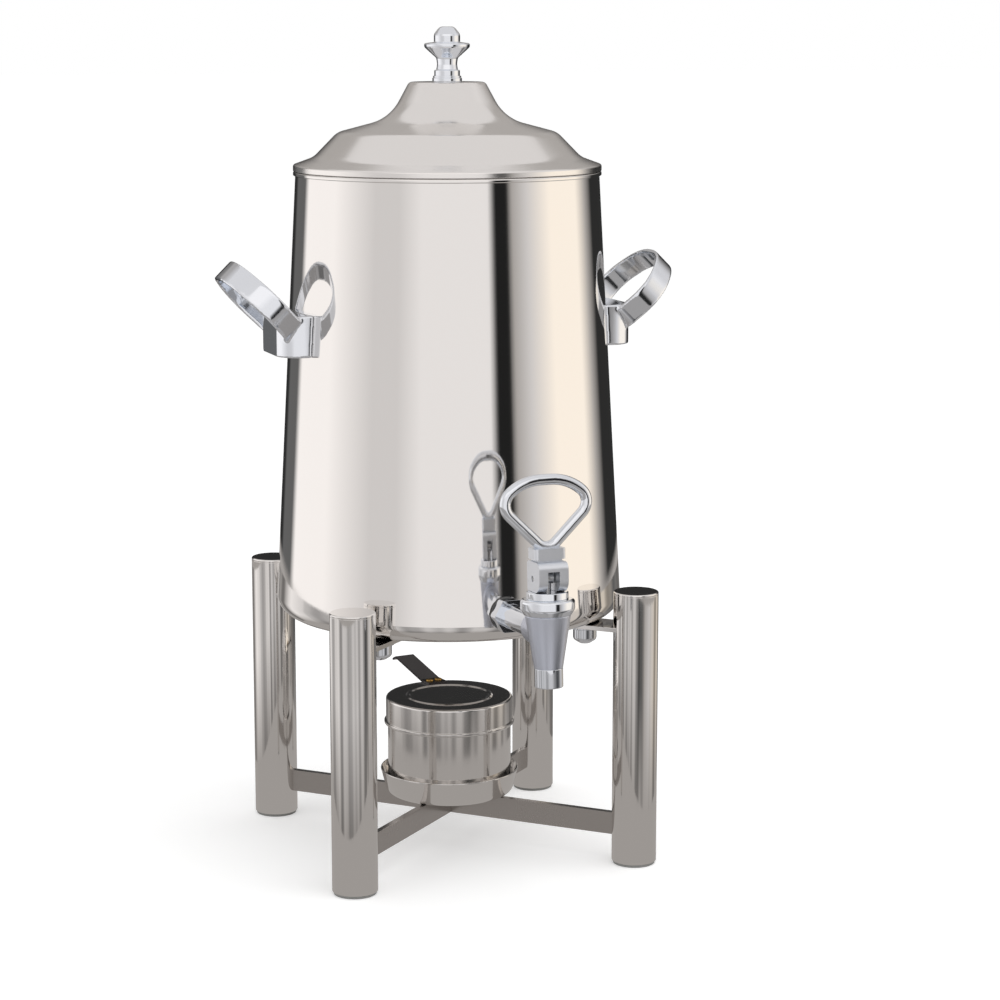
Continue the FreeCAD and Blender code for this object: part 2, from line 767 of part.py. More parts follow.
def make_shank_nut():
    start = inner_gasket_y() - shank_nut_l
    return hexagon_y(shank_nut_w, shank_nut_l, start).cut(cylinder_y(shank_r + plug_gap, shank_nut_l, start))


def at_valve(shape):
    return moved(shape, 0, -tap_reach, 0)


def make_tap_body():
    """Tapered casting with the shank's socket, the valve's cavity, its seat and the outlet."""
    cone = turned([(0, -cone_below, 0), (cone_bottom_r, -cone_below, 0),
                   (cone_top_r, cone_above, soft_edge_r), (0, cone_above, 0)])
    cone = at_valve(cone)
    socket_start = tap_reach - cone_top_r - shank_socket_l
    boss = cylinder_y(shank_r + shank_socket_wall, tap_reach - socket_start, socket_start)
    seat_z = -valve_seat_drop
    cavity = at_valve(Part.makeCylinder(valve_cavity_r, cone_above - seat_z + 1, vec(0, 0, seat_z)))
    outlet = at_valve(Part.makeCylinder(outlet_r, cone_below + 1, vec(0, 0, -cone_below - 1)))
    spigot = at_valve(Part.makeCylinder(tip_spigot_r(), tip_spigot_h, vec(0, 0, -cone_below)))
    shank_end = tap_reach - valve_cavity_r - shank_end_gap
    shank = cylinder_y(shank_r + plug_gap, shank_end - socket_start, socket_start)
    bore = cylinder_y(tap_bore_r, valve_cavity_r, tap_reach - valve_cavity_r - shank_end_gap)
    body = cone.fuse(boss).cut(cavity).cut(outlet).cut(spigot).cut(shank).cut(bore)
    return body.removeSplitter()


def tip_spigot_r():
    return tip_r - tip_spigot_wall - tip_wall


def make_tip():
    """Polished outlet ring under the tapered body."""
    top = -cone_below
    spigot = tip_spigot_r() - plug_gap
    bore = outlet_r - outlet_step
    spigot_top = top + tip_spigot_h - tip_spigot_gap
    tip = turned([(bore, top - tip_h, fine_edge_r), (tip_r, top - tip_h, soft_edge_r),
                  (tip_r, top, fine_edge_r), (spigot, top, 0),
                  (spigot, spigot_top, 0), (bore, spigot_top, 0)])
    return at_valve(tip)


def make_collar():
    """Ring nut that clamps the bonnet on the tapered body."""
    low = cone_above
    inner = cone_top_r - collar_wall
    foot_r = cone_top_r + collar_foot_step
    ring = turned([(inner, low, 0), (foot_r, low, fine_edge_r),
                   (collar_r, low + collar_taper_h, collar_round_r),
                   (collar_r, low + collar_h, collar_round_r), (inner, low + collar_h, 0)])
    return at_valve(ring)


def bonnet_top():
    return cone_above + collar_h + bonnet_h


def make_bonnet():
    low = cone_above + collar_h
    plug_r = cone_top_r - collar_wall - plug_gap
    bonnet = turned([
        (0, low - bonnet_plug_h, 0), (plug_r, low - bonnet_plug_h, fine_edge_r), (plug_r, low, 0),
        (bonnet_r, low, fine_edge_r), (bonnet_r, low + bonnet_h, soft_edge_r), (0, low + bonnet_h, 0)])
    bore_low = low - bonnet_plug_h - 1
    bore = Part.makeCylinder(stem_r + stem_gap, bonnet_h + bonnet_plug_h + 2, vec(0, 0, bore_low))
    return at_valve(bonnet.cut(bore))


def lever_pin_height():
    return bonnet_top() + lever_pin_z


def make_stem():
    """Round stem with a flat lug for the pin on top and a button for the seat cup below."""
    pin_z = lever_pin_height()
    low = -valve_seat_drop + stem_button_lift
    shaft = Part.makeCylinder(stem_r, pin_z - low, vec(0, 0, low))
    button = Part.makeCylinder(stem_button_r, stem_button_h, vec(0, 0, low))
    lug_half = lever_pin_r + stem_lug_wall
    lug = Part.makeCylinder(lug_half, stem_lug_w, vec(-stem_lug_w / 2, 0, pin_z), along_x)
    stem = shaft.fuse([button, lug]).removeSplitter()
    hole = Part.makeCylinder(lever_pin_r + plug_gap, 2 * stem_lug_w, vec(-stem_lug_w, 0, pin_z), along_x)
    return at_valve(stem.cut(hole))


def make_seat_cup():
    low = -valve_seat_drop + seat_rest_gap
    button_low = -valve_seat_drop + stem_button_lift
    button_top = button_low + stem_button_h
    cup = turned([(0, low, 0), (seat_cup_r, low, soft_edge_r), (seat_cup_r, low + seat_cup_h, soft_edge_r),
                  (stem_r, low + seat_cup_h, 0), (stem_r, button_top, 0), (stem_button_r, button_top, 0),
                  (stem_button_r, button_low, 0), (0, button_low, 0)])
    return at_valve(cup)


def make_spring():
    """Closing spring between the seat cup and the bonnet's plug, as a plain sleeve."""
    low = -valve_seat_drop + seat_rest_gap + seat_cup_h + spring_end_gap
    high = cone_above + collar_h - bonnet_plug_h - spring_end_gap
    return at_valve(tube(spring_r, spring_r - 2 * spring_wire_r, high - low, low))


def make_lever_pin():
    length = lever_w - 2 * lever_pin_inset
    z = lever_pin_height()
    pin = Part.makeCylinder(lever_pin_r, length, vec(-length / 2, 0, z), along_x)
    return at_valve(pin)


def make_lever():
    """Forked block with a cam foot, a grooved neck and a rounded three-sided grip ring."""
    pin_z = lever_pin_height()
    bottom = bonnet_top() + lever_bottom_gap
    cam_r = pin_z - bottom
    front = lever_cam_offset + cam_r
    top = bottom + lever_block_h
    half = lever_w / 2
    side = rounded_wire([
        (vec(-half, -front, bottom), cam_r * lever_cam_share),
        (vec(-half, lever_back_d, bottom), lever_back_low_r),
        (vec(-half, lever_back_d, top), lever_back_top_r),
        (vec(-half, -front, top), lever_front_top_r)])
    block = Part.Face(side).extrude(vec(lever_w, 0, 0))
    slot_half = stem_lug_w / 2 + stem_lug_gap
    slot = Part.makeBox(2 * slot_half, 4 * front, lever_slot_h + 1, vec(-slot_half, -2 * front, bottom - 1))
    block = block.cut(slot)
    hole = Part.makeCylinder(lever_pin_r + stem_gap, 2 * lever_w, vec(-lever_w, 0, pin_z), along_x)
    block = block.cut(hole)
    neck_half = lever_neck_w / 2
    groove_z = top
    neck_low = groove_z + lever_groove_d
    waist = Part.makeBox(lever_waist_w, lever_waist_d, lever_groove_d + 2,
                         vec(-lever_waist_w / 2, -lever_waist_d / 2, groove_z - 1))
    neck_back = lever_neck_d / 2
    neck_corners = [(-neck_half, -neck_back), (neck_half, -neck_back),
                    (neck_half, neck_back), (-neck_half, neck_back)]
    neck = rounded_wire([(vec(x, y, neck_low), lever_neck_corner_r) for x, y in neck_corners])
    neck = Part.Face(neck).extrude(vec(0, 0, lever_neck_h))
    ring_low = neck_low + lever_neck_h
    ring_top = ring_low + loop_h
    side_z = ring_top - loop_side_drop
    side_x = loop_half_w - loop_bar_r + loop_side_out
    corners = [(vec(0, 0, ring_low - loop_foot_drop), loop_foot_r),
               (vec(side_x, 0, side_z), loop_side_r),
               (vec(loop_top_half_w, 0, ring_top - loop_bar_r), loop_top_r),
               (vec(-loop_top_half_w, 0, ring_top - loop_bar_r), loop_top_r),
               (vec(-side_x, 0, side_z), loop_side_r)]
    path = rounded_wire(corners)
    start = path.Edges[0].valueAt(path.Edges[0].FirstParameter)
    direction = path.Edges[0].tangentAt(path.Edges[0].FirstParameter)
    circle = Part.Wire(Part.makeCircle(loop_bar_r, start, direction))
    ring = path.makePipeShell([circle], True, True)
    lever = block.fuse([waist, neck, ring]).removeSplitter()
    return at_valve(lever)


def main():
    os.makedirs("parts", exist_ok=True)
    save("urn_body", make_body())
    save("lid", make_lid())
    save("finial", make_finial())
    finial_washer, finial_nut = make_finial_hardware()
    save("finial_washer", finial_washer)
    save("finial_nut", finial_nut)

    leg_tube, leg_cap, leg_foot = make_leg_pieces()
    bracket = make_bracket()
    stud, nut = make_stud_and_nut()
    studs, nuts = [], []
    corners = {"front_left": 225, "front_right": 315, "rear_right": 45, "rear_left": 135}
    for name, angle in corners.items():
        spin = math.radians(angle)
        x = leg_circle_r * math.cos(spin)
        y = leg_circle_r * math.sin(spin)
        save("leg_" + name, moved(leg_tube, x, y, 0))
        save("leg_cap_" + name, moved(leg_cap, x, y, 0))
        save("leg_foot_" + name, moved(leg_foot, x, y, 0))
        save("bracket_" + name, turned_about_axis(bracket, angle))
        studs.append(turned_about_axis(stud, angle))
        nuts.append(turned_about_axis(nut, angle))
    save("base_studs", group(studs))
    save("dome_nuts", group(nuts))
    bar_a, bar_b = make_cross_bars()
    save("cross_bar_lower_half", bar_a)
    save("cross_bar_upper_half", bar_b)

    save("burner_dish", make_dish())
    save("dish_screw", make_dish_screw())
    save("fuel_holder", make_holder())
    save("snuffer_cover", make_cover())
    save("cover_strip", make_strip())
    save("cover_rivets", make_rivets())

    handle = make_handle()
    save("handle_right", handle)
    save("handle_left", handle.mirror(origin, along_x))
    screws, washers = make_handle_hardware()
    save("handle_screws", screws)
    save("handle_washers", washers)

    tap_pieces = {
        "shank": make_shank(),
        "shank_gasket_outer": make_gasket(0),
        "shank_gasket_inner": make_gasket(inner_gasket_y()),
        "shank_nut": make_shank_nut(),
        "tap_body": make_tap_body(),
        "spout_tip": make_tip(),
        "tap_collar": make_collar(),
        "bonnet": make_bonnet(),
        "stem": make_stem(),
        "seat_cup": make_seat_cup(),
        "stem_spring": make_spring(),
        "lever": make_lever(),
        "lever_pin": make_lever_pin(),
    }
    for name, shape in tap_pieces.items():
        save(name, place_tap(shape))
    valve = place_tap(Part.Vertex(at_valve(Part.Vertex(0, 0, lever_pin_height())).Point))
    print("lever pin at", valve.Point, "wall angle", wall_angle)


main()
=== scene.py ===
import json
import math
import bpy
from bpy.props import FloatProperty, FloatVectorProperty, IntProperty, PointerProperty
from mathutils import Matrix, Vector


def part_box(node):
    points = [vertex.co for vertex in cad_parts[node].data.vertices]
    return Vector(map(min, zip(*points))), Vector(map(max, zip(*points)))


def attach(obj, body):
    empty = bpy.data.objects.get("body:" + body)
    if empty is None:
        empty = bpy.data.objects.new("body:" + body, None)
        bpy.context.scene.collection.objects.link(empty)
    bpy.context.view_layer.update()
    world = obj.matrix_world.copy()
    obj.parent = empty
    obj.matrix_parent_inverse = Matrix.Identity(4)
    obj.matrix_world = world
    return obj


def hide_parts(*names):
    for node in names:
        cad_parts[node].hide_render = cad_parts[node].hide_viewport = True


bl_info = {
    "name": "Coffee urn",
    "version": (1, 0, 0),
    "blender": (4, 5, 0),
    "location": "View3D > Sidebar > Urn",
    "description": "Builds the polished coffee urn, its stand, burner and tap, and a plain studio",
    "category": "Object",
}

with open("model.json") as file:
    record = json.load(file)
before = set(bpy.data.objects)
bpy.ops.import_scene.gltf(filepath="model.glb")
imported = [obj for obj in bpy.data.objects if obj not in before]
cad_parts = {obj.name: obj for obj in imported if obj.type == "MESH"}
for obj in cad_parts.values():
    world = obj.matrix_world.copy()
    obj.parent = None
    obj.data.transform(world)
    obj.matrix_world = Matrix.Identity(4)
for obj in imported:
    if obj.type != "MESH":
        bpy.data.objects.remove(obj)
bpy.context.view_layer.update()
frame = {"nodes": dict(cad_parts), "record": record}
MM = 0.001
WELD_MM = 0.004
COPY_WELD_MM = 0.002
FLAT_DEG = 0.5
LONGEST_CORNER = 0.49
FINE_STEPS = 128
SMALL_STEPS = 64

# The nodes' boxes give the heights that the pieces keep to, in millimetres.


def node_low(node, axis):
    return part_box(node)[0][axis] / MM


def node_high(node, axis):
    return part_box(node)[1][axis] / MM


def millimetres(name, value, description, low=0.0):
    """A size in millimetres that a user can change."""
    return FloatProperty(name=name, description=description, default=value, min=low, precision=2)


class UrnBodySizes(bpy.types.PropertyGroup):
    bottom_r: millimetres("Base radius", 124.6, "Radius of the body at its base")
    top_r: millimetres("Top radius", 107.3, "Radius of the body just under the rim")
    base_z: millimetres("Base height", node_low("urn_body", 2), "Height of the body's base above the floor")
    top_z: millimetres("Rim height", node_high("urn_body", 2), "Height of the rolled rim above the floor")
    wall: millimetres("Wall", 1.2, "Thickness of the sheet")
    corner_r: millimetres("Base corner", 12.0, "Radius of the turn from wall to base")
    bead_r: millimetres("Rim bead", 1.5, "Radius of the rolled rim")
    round_steps: IntProperty(name="Round steps", description="Faces round the body", default=192, min=24)


class UrnLidSizes(bpy.types.PropertyGroup):
    overhang: millimetres("Overhang", 1.5, "How far the lid's edge stands out past the body")
    edge_h: millimetres("Edge", 4.2, "Height of the lid's upright edge")
    flange_w: millimetres("Flange width", 14.3, "Width of the flat ring inside the edge")
    flange_rise: millimetres("Flange rise", 5.2, "Rise of the flat ring")
    shoulder_w: millimetres("Shoulder width", 17.0, "Width of the steep shoulder")
    shoulder_rise: millimetres("Shoulder rise", 17.3, "Rise of the steep shoulder")
    slope_rise: millimetres("Slope rise", 9.8, "Rise of the easy slope above the shoulder")
    neck_w: millimetres("Neck width", 13.8, "Width of the curve up to the crown")
    neck_rise: millimetres("Neck rise", 25.3, "Rise of the curve up to the crown")
    crown_r: millimetres("Crown radius", 26.7, "Radius of the flat crown under the knob")
    crown_round: millimetres("Crown round", 4.0, "Radius of the crown's edge")
    neck_round: millimetres("Neck round", 32.0, "Radius of the hollow below the crown")
    shoulder_round: millimetres("Shoulder round", 14.0, "Radius of the turn over the shoulder")
    flange_round: millimetres("Flange round", 16.0, "Radius of the turn from flange to shoulder")
    edge_round: millimetres("Edge round", 1.6, "Radius of the turn from edge to flange")
    hem_round: millimetres("Hem round", 0.5, "Radius of the edge's lower rim")
    seat_gap: millimetres("Seat gap", 0.2, "Gap between the lid and the body's rim")
    ring_gap: millimetres("Ring gap", 0.8, "Gap between the locating ring and the body")
    ring_wall: millimetres("Ring wall", 1.0, "Thickness of the locating ring")
    ring_drop: millimetres("Ring drop", 8.0, "How far the locating ring hangs below the lid's edge")
    ring_rise: millimetres("Ring rise", 1.0, "How far the locating ring runs up into the flange")


class UrnStandSizes(bpy.types.PropertyGroup):
    leg_r: millimetres("Leg radius", 15.875, "Outside radius of the leg tube")
    leg_h: millimetres("Leg height", node_high("leg_cap_front_left", 2), "Height of a leg with its cap")
    circle_r: millimetres("Leg circle", 146.675, "Radius of the circle that the legs stand on")
    cap_h: millimetres("Cap", 2.0, "Height of the cap's edge")
    foot_h: millimetres("Foot", 2.0, "Height of the foot below the tube")
    foot_inset: millimetres("Foot inset", 1.0, "How far the foot is smaller than the tube")
    tube_wall: millimetres("Tube wall", 1.5, "Thickness of the leg tube")
    tube_round: millimetres("Tube round", 0.5, "Radius of the tube's lower edge")
    seam_round: millimetres("Seam round", 0.2, "Radius of the edges where tube and cap meet")
    cap_round: millimetres("Cap round", 1.0, "Radius of the cap's top edge")
    foot_round: millimetres("Foot round", 0.6, "Radius of the foot's lower edge")
    plug_h: millimetres("Plug", 10.0, "How far cap and foot reach into the tube")
    plug_gap: millimetres("Plug gap", 0.05, "Gap between plug and tube")
    plug_round: millimetres("Plug round", 0.8, "Radius of the plug's end")


class UrnBurnerSizes(bpy.types.PropertyGroup):
    dish_r: millimetres("Dish radius", 50.6, "Radius of the dish's rim")
    dish_foot_r: millimetres("Dish foot radius", 45.6, "Radius of the dish's flat bottom")
    dish_z: millimetres("Dish height", node_low("burner_dish", 2), "Height of the dish's bottom")
    dish_h: millimetres("Dish depth", 18.5, "Height of the dish's wall")
    holder_r: millimetres("Holder radius", 44.9, "Outside radius of the fuel holder")
    holder_z: millimetres("Holder bottom", 39.2, "Height of the holder's bottom")
    holder_top: millimetres("Holder top", node_high("fuel_holder", 2), "Height of the holder's open rim")
    cover_r: millimetres("Cover radius", 46.2, "Outside radius of the cover's skirt")
    cover_top: millimetres("Cover top", 106.9, "Height of the cover's flat top")
    skirt_h: millimetres("Skirt", 20.0, "Height of the cover's skirt")
    bead_r: millimetres("Bead", 1.3, "Radius of the bead round the skirt's edge")
    ring_r: millimetres("Ring", 30.0, "Radius of the raised ring on the cover")
    ring_h: millimetres("Ring height", 0.7, "How far the raised ring stands up")
    ring_half_w: millimetres("Ring half width", 1.8, "Half the width of the raised ring at its foot")
    ring_flat_w: millimetres("Ring half flat", 0.6, "Half the width of the raised ring's flat top")
    sheet: millimetres("Sheet", 0.9, "Thickness of the holder's and the cover's sheet")
    dish_sheet: millimetres("Dish sheet", 1.0, "Thickness of the dish's sheet")
    dish_round: millimetres("Dish round", 6.0, "Radius of the turn from the dish's bottom to its wall")
    holder_round: millimetres("Holder round", 1.6, "Radius of the holder's lower edge")
    foot_ring_in: millimetres("Foot ring inset", 6.0, "How far the foot ring is inside the dish's flat")
    foot_ring_gap: millimetres("Foot ring height", 1.3, "Height of the foot ring above the dish's underside")
    cover_round: millimetres("Cover round", 1.8, "Radius of the cover's top edge")
    bead_round: millimetres("Bead round", 1.2, "Radius of the bead's corners")
    inner_round: millimetres("Inner round", 0.8, "Radius of the inside corners")
    rim_round: millimetres("Rim round", 0.3, "Radius of the sheet's cut edges")


class UrnTapSizes(bpy.types.PropertyGroup):
    wall_angle: FloatProperty(name="Lean", description="How far the tap leans back with the wall",
                              unit="ROTATION", default=math.radians(3.14157), min=0.0)
    wall_r: millimetres("Wall radius", 123.48, "Distance of the wall from the urn's axis at the tap")
    centre_z: millimetres("Tap height", 192.8, "Height of the shank above the floor")
    reach: millimetres("Reach", 80.0, "Distance of the valve's axis from the wall")
    cone_top_r: millimetres("Body top radius", 15.2, "Radius of the tapered body at its top")
    cone_up: millimetres("Body above", 12.0, "Height of the tapered body above the shank")
    cone_down: millimetres("Body below", 23.5, "Depth of the tapered body below the shank")
    tip_r: millimetres("Tip radius", 9.5, "Radius of the outlet ring")
    tip_h: millimetres("Tip height", 13.0, "Height of the outlet ring")
    collar_r: millimetres("Collar radius", 18.0, "Radius of the ring nut")
    collar_h: millimetres("Collar height", 10.5, "Height of the ring nut")
    bonnet_r: millimetres("Bonnet radius", 13.8, "Radius of the bonnet's flange")
    bonnet_h: millimetres("Bonnet height", 4.8, "Height of the bonnet's flange")
    outlet_r: millimetres("Outlet radius", 4.4, "Radius of the outlet's bore")
    socket_r: millimetres("Socket radius", 6.65, "Radius of the outlet ring's stub inside the body")
    socket_h: millimetres("Socket height", 4.7, "Height of the outlet ring's stub inside the body")
    stem_bore_r: millimetres("Stem bore radius", 2.55, "Radius of the bonnet's bore for the stem")
    body_wall: millimetres("Body wall", 2.0, "Thickness of the tapered body's wall at its top")
    collar_foot: millimetres("Collar foot", 0.6, "How far the ring nut's foot stands out past the body")
    collar_flare: millimetres("Collar flare", 3.7, "Height over which the ring nut widens")
    collar_round: millimetres("Collar round", 3.0, "Radius of the ring nut's edges")
    skirt_h: millimetres("Bonnet skirt", 6.0, "How far the bonnet reaches into the body")
    skirt_gap: millimetres("Bonnet gap", 0.05, "Gap between the bonnet and the body")
    edge_round: millimetres("Edge round", 0.5, "Radius of the small edges")


def colour(name, text, description):
    """A finish's colour, kept as a linear colour that Blender shows in sRGB."""
    return FloatVectorProperty(name=name, description=description, default=srgb(text)[:3], size=3,
                               subtype="COLOR", min=0.0, max=1.0)


def srgb(text):
    """sRGB hex to linear RGBA."""
    parts = [int(text[i:i + 2], 16) / 255 for i in (0, 2, 4)]
    return [p / 12.92 if p <= 0.04045 else ((p + 0.055) / 1.055) ** 2.4 for p in parts] + [1.0]


class UrnFinishes(bpy.types.PropertyGroup):
    steel: colour("Polished stainless", "EBE9E7", "Mirror polished stainless steel of the body and legs")
    chrome: colour("Chrome plate", "E7EBF1", "Bright chrome plate of the handles and the lever")
    satin: colour("Satin plate", "D3D8E4", "Satin chrome plate of the cast tap body")
    bar: colour("Brushed steel", "BBB7B4", "Brushed stainless of the cross bars")
    # The strip's dark grey is a painted reflection. It stands in for the dark that polished steel mirrors.
    dark: colour("Steel with painted dark reflection", "4A484A", "Stainless strip whose dark reflection is painted in")
    plain: colour("Plain steel", "B0B0B0", "Plain stainless fasteners")
    brass: colour("Brass", "CDA45B", "Brass of the rivets")
    rubber: colour("Grey rubber", "4A4A4A", "Grey silicone of the gaskets")
    foot: colour("Grey nylon", "8E8E8C", "Grey nylon of the feet")
    floor: colour("Floor", "F2F2F2", "Plain pale floor")


# Shaders


def add(tree, kind, inputs=None, **settings):
    """Add a node: settings are its properties, inputs are values or other nodes' outputs."""
    node = tree.nodes.new(kind)
    for key, value in settings.items():
        setattr(node, key, value)
    for key, value in (inputs or {}).items():
        if isinstance(value, bpy.types.NodeSocket):
            tree.links.new(value, node.inputs[key])
        else:
            node.inputs[key].default_value = value
    return node


def ranged(tree, value, low, high, at_low, at_high):
    """A value that runs from at_low to at_high as the one given goes from low to high."""
    return add(tree, "ShaderNodeMapRange", {0: value, 1: low, 2: high, 3: at_low, 4: at_high}).outputs[0]


def mixed(tree, share, first, second):
    """Two colours mixed: share 0 gives the first and 1 the second."""
    return add(tree, "ShaderNodeMix", {0: share, 6: first, 7: second}, data_type="RGBA").outputs[2]


def seen_sharply(tree):
    """1 where a camera, mirror or glass ray looks, 0 for scattered light."""
    rays = add(tree, "ShaderNodeLightPath").outputs
    seen = add(tree, "ShaderNodeMath", {0: rays["Is Camera Ray"], 1: rays["Is Glossy Ray"]},
               operation="MAXIMUM")
    return add(tree, "ShaderNodeMath", {0: seen.outputs[0], 1: rays["Is Transmission Ray"]},
               operation="MAXIMUM").outputs[0]


def new_material(name):
    """The material and its empty tree, or the finished material and None."""
    material = bpy.data.materials.get(name)
    if material:
        return material, None
    material = bpy.data.materials.new(name)
    material.use_nodes = True
    material.node_tree.nodes.clear()
    return material, material.node_tree


SMUDGE_SCALE = 22.0
MARKS_LOW, MARKS_HIGH = 0.1, 0.45
DULL_BAND = 4 * MM
LEVER_BLOCK_MM = 29.0
DUST_SHARE = 0.25
DUST_GAIN = 2.5


def metal(name, tint, roughness, spread, grain_mm, stretch, bump_mm, wave_mm=0.0, wave_size_mm=60.0,
          dull_below=0.0, dull=0.0):
    """A metal with fine marks: grain_mm is the marks' spacing, stretch pulls them along X, Y or Z.
    Its sheet waves by wave_mm over wave_size_mm. Below the height dull_below it is rougher by dull."""
    material, tree = new_material(name)
    if tree is None:
        return material
    place = add(tree, "ShaderNodeTexCoord").outputs["Object"]
    lay = add(tree, "ShaderNodeMapping", {0: place, "Scale": stretch})
    marks = add(tree, "ShaderNodeTexNoise", {"Vector": lay.outputs[0], "Scale": 1000.0 / grain_mm,
                                             "Detail": 4.0, "Roughness": 0.6})
    smudges = add(tree, "ShaderNodeTexNoise", {"Vector": place, "Scale": SMUDGE_SCALE, "Detail": 3.0})
    both = add(tree, "ShaderNodeMath", {0: marks.outputs[0], 1: smudges.outputs[0]}, operation="MULTIPLY")
    rough = ranged(tree, both.outputs[0], MARKS_LOW, MARKS_HIGH, roughness - spread, roughness + spread)
    if dull:
        height = add(tree, "ShaderNodeSeparateXYZ", {0: place}).outputs[2]
        low = ranged(tree, height, dull_below, dull_below + DULL_BAND, dull, 0.0)
        rough = add(tree, "ShaderNodeMath", {0: rough, 1: low}, operation="ADD").outputs[0]
    normal = add(tree, "ShaderNodeBump", {"Height": marks.outputs[0], "Distance": bump_mm * MM,
                                          "Strength": 1.0})
    if wave_mm:
        sheet = add(tree, "ShaderNodeTexNoise", {"Vector": place, "Detail": 1.0,
                                                 "Scale": 1000.0 / wave_size_mm})
        normal = add(tree, "ShaderNodeBump", {"Height": sheet.outputs[0], "Distance": wave_mm * MM,
                                              "Strength": 1.0, "Normal": normal.outputs[0]})
    shader = add(tree, "ShaderNodeBsdfPrincipled", {"Base Color": list(tint) + [1.0], "Metallic": 1.0,
                                                    "Roughness": rough, "Normal": normal.outputs[0]})
    add(tree, "ShaderNodeOutputMaterial", {"Surface": shader.outputs[0]})
    return material


def mirror_stainless():
    """Mirror polished 18-8 stainless: crisp reflections with a very faint turning grain."""
    return metal("mirror polished stainless", finishes().steel, roughness=0.045, spread=0.02,
                 grain_mm=0.6, stretch=(1, 1, 14), bump_mm=0.0015)


def spun_stainless():
    """Spun stainless of the lid: softer reflections from the spinning marks round it."""
    return metal("spun polished stainless", finishes().steel, roughness=0.20, spread=0.04,
                 grain_mm=0.6, stretch=(1, 1, 9), bump_mm=0.002)


def tube_stainless():
    """Polished drawn tube: fine marks along its length draw the reflections out a little."""
    return metal("polished stainless tube", finishes().steel, roughness=0.07, spread=0.025,
                 grain_mm=0.5, stretch=(1, 1, 0.05), bump_mm=0.003)


def pressed_stainless():
    """Pressed sheet of the burner: polished, with a slight waviness from the press."""
    return metal("pressed stainless sheet", finishes().steel, roughness=0.10, spread=0.03,
                 grain_mm=0.6, stretch=(1, 1, 1), bump_mm=0.002, wave_mm=0.02, wave_size_mm=25.0)


def brushed_bar():
    """Brushed stainless flat bar, greyer than the polished tube."""
    return metal("brushed stainless bar", finishes().bar, roughness=0.24, spread=0.05,
                 grain_mm=0.5, stretch=(1, 1, 0.1), bump_mm=0.004)


def painted_dark_reflection_steel():
    """Stainless strip painted dark grey: a painted reflection that stands in for the dark that the polished
    strip mirrors.
    """
    return metal("stainless with painted dark reflection", finishes().dark, roughness=0.24, spread=0.05,
                 grain_mm=0.5, stretch=(1, 1, 1), bump_mm=0.003)


def cast_chrome():
    """Bright chrome over a hand polished casting: mirror gloss with soft unevenness."""
    return metal("bright chrome on casting", finishes().chrome, roughness=0.09, spread=0.03,
                 grain_mm=0.8, stretch=(1, 1, 1), bump_mm=0.002, wave_mm=0.03, wave_size_mm=14.0)


def lever_chrome():
    """Bright chrome over the lever's casting: uneven flats, and a duller block below the ring."""
    return metal("bright chrome on lever", finishes().chrome, roughness=0.10, spread=0.03,
                 grain_mm=0.8, stretch=(1, 1, 1), bump_mm=0.002, wave_mm=0.2, wave_size_mm=11.0,
                 dull_below=(node_low("lever", 2) + LEVER_BLOCK_MM) * MM, dull=0.30)


def bright_chrome():
    """Bright chrome over machined brass."""
    return metal("bright chrome on brass", finishes().chrome, roughness=0.07, spread=0.02,
                 grain_mm=0.6, stretch=(1, 1, 6), bump_mm=0.001)


def satin_chrome():
    """Satin chrome on the tapered casting: a soft blue-grey sheen from bead blasting."""
    return metal("satin chrome casting", finishes().satin, roughness=0.36, spread=0.05,
                 grain_mm=0.35, stretch=(1, 1, 1), bump_mm=0.004)


def plain_stainless():
    """Plain turned fasteners."""
    return metal("plain stainless fastener", finishes().plain, roughness=0.28, spread=0.05,
                 grain_mm=0.4, stretch=(1, 1, 6), bump_mm=0.003)


def rivet_brass():
    """Plain brass, slightly dulled by handling."""
    return metal("dulled brass", finishes().brass, roughness=0.25, spread=0.06,
                 grain_mm=0.4, stretch=(1, 1, 1), bump_mm=0.003)


def rubber(name, tint, grain_mm):
    """Moulded rubber or nylon: dull, with a fine mould grain and paler dust in patches that follow the grain.
    """
    material, tree = new_material(name)
    if tree is None:
        return material
    place = add(tree, "ShaderNodeTexCoord")
    grain = add(tree, "ShaderNodeTexNoise", {"Vector": place.outputs["Object"], "Scale": 1000.0 / grain_mm})
    dust = ranged(tree, grain.outputs[0], 0.4, 0.8, 0.0, DUST_SHARE)
    tone = mixed(tree, dust, list(tint) + [1.0], [min(1.0, c * DUST_GAIN) for c in tint] + [1.0])
    bump = add(tree, "ShaderNodeBump", {"Height": grain.outputs[0], "Distance": 0.02 * MM})
    shader = add(tree, "ShaderNodeBsdfPrincipled", {"Base Color": tone, "Roughness": 0.62, "IOR": 1.52,
                                                    "Normal": bump.outputs[0]})
    add(tree, "ShaderNodeOutputMaterial", {"Surface": shader.outputs[0]})
    return material


# Modelling helpers


def sizes(group):
    return getattr(bpy.context.scene, "urn_" + group)


def finishes():
    return bpy.context.scene.urn_finishes


def clear_selection():
    if bpy.context.object and bpy.context.object.mode != "OBJECT":
        bpy.ops.object.mode_set(mode="OBJECT")
    bpy.ops.object.select_all(action="DESELECT")


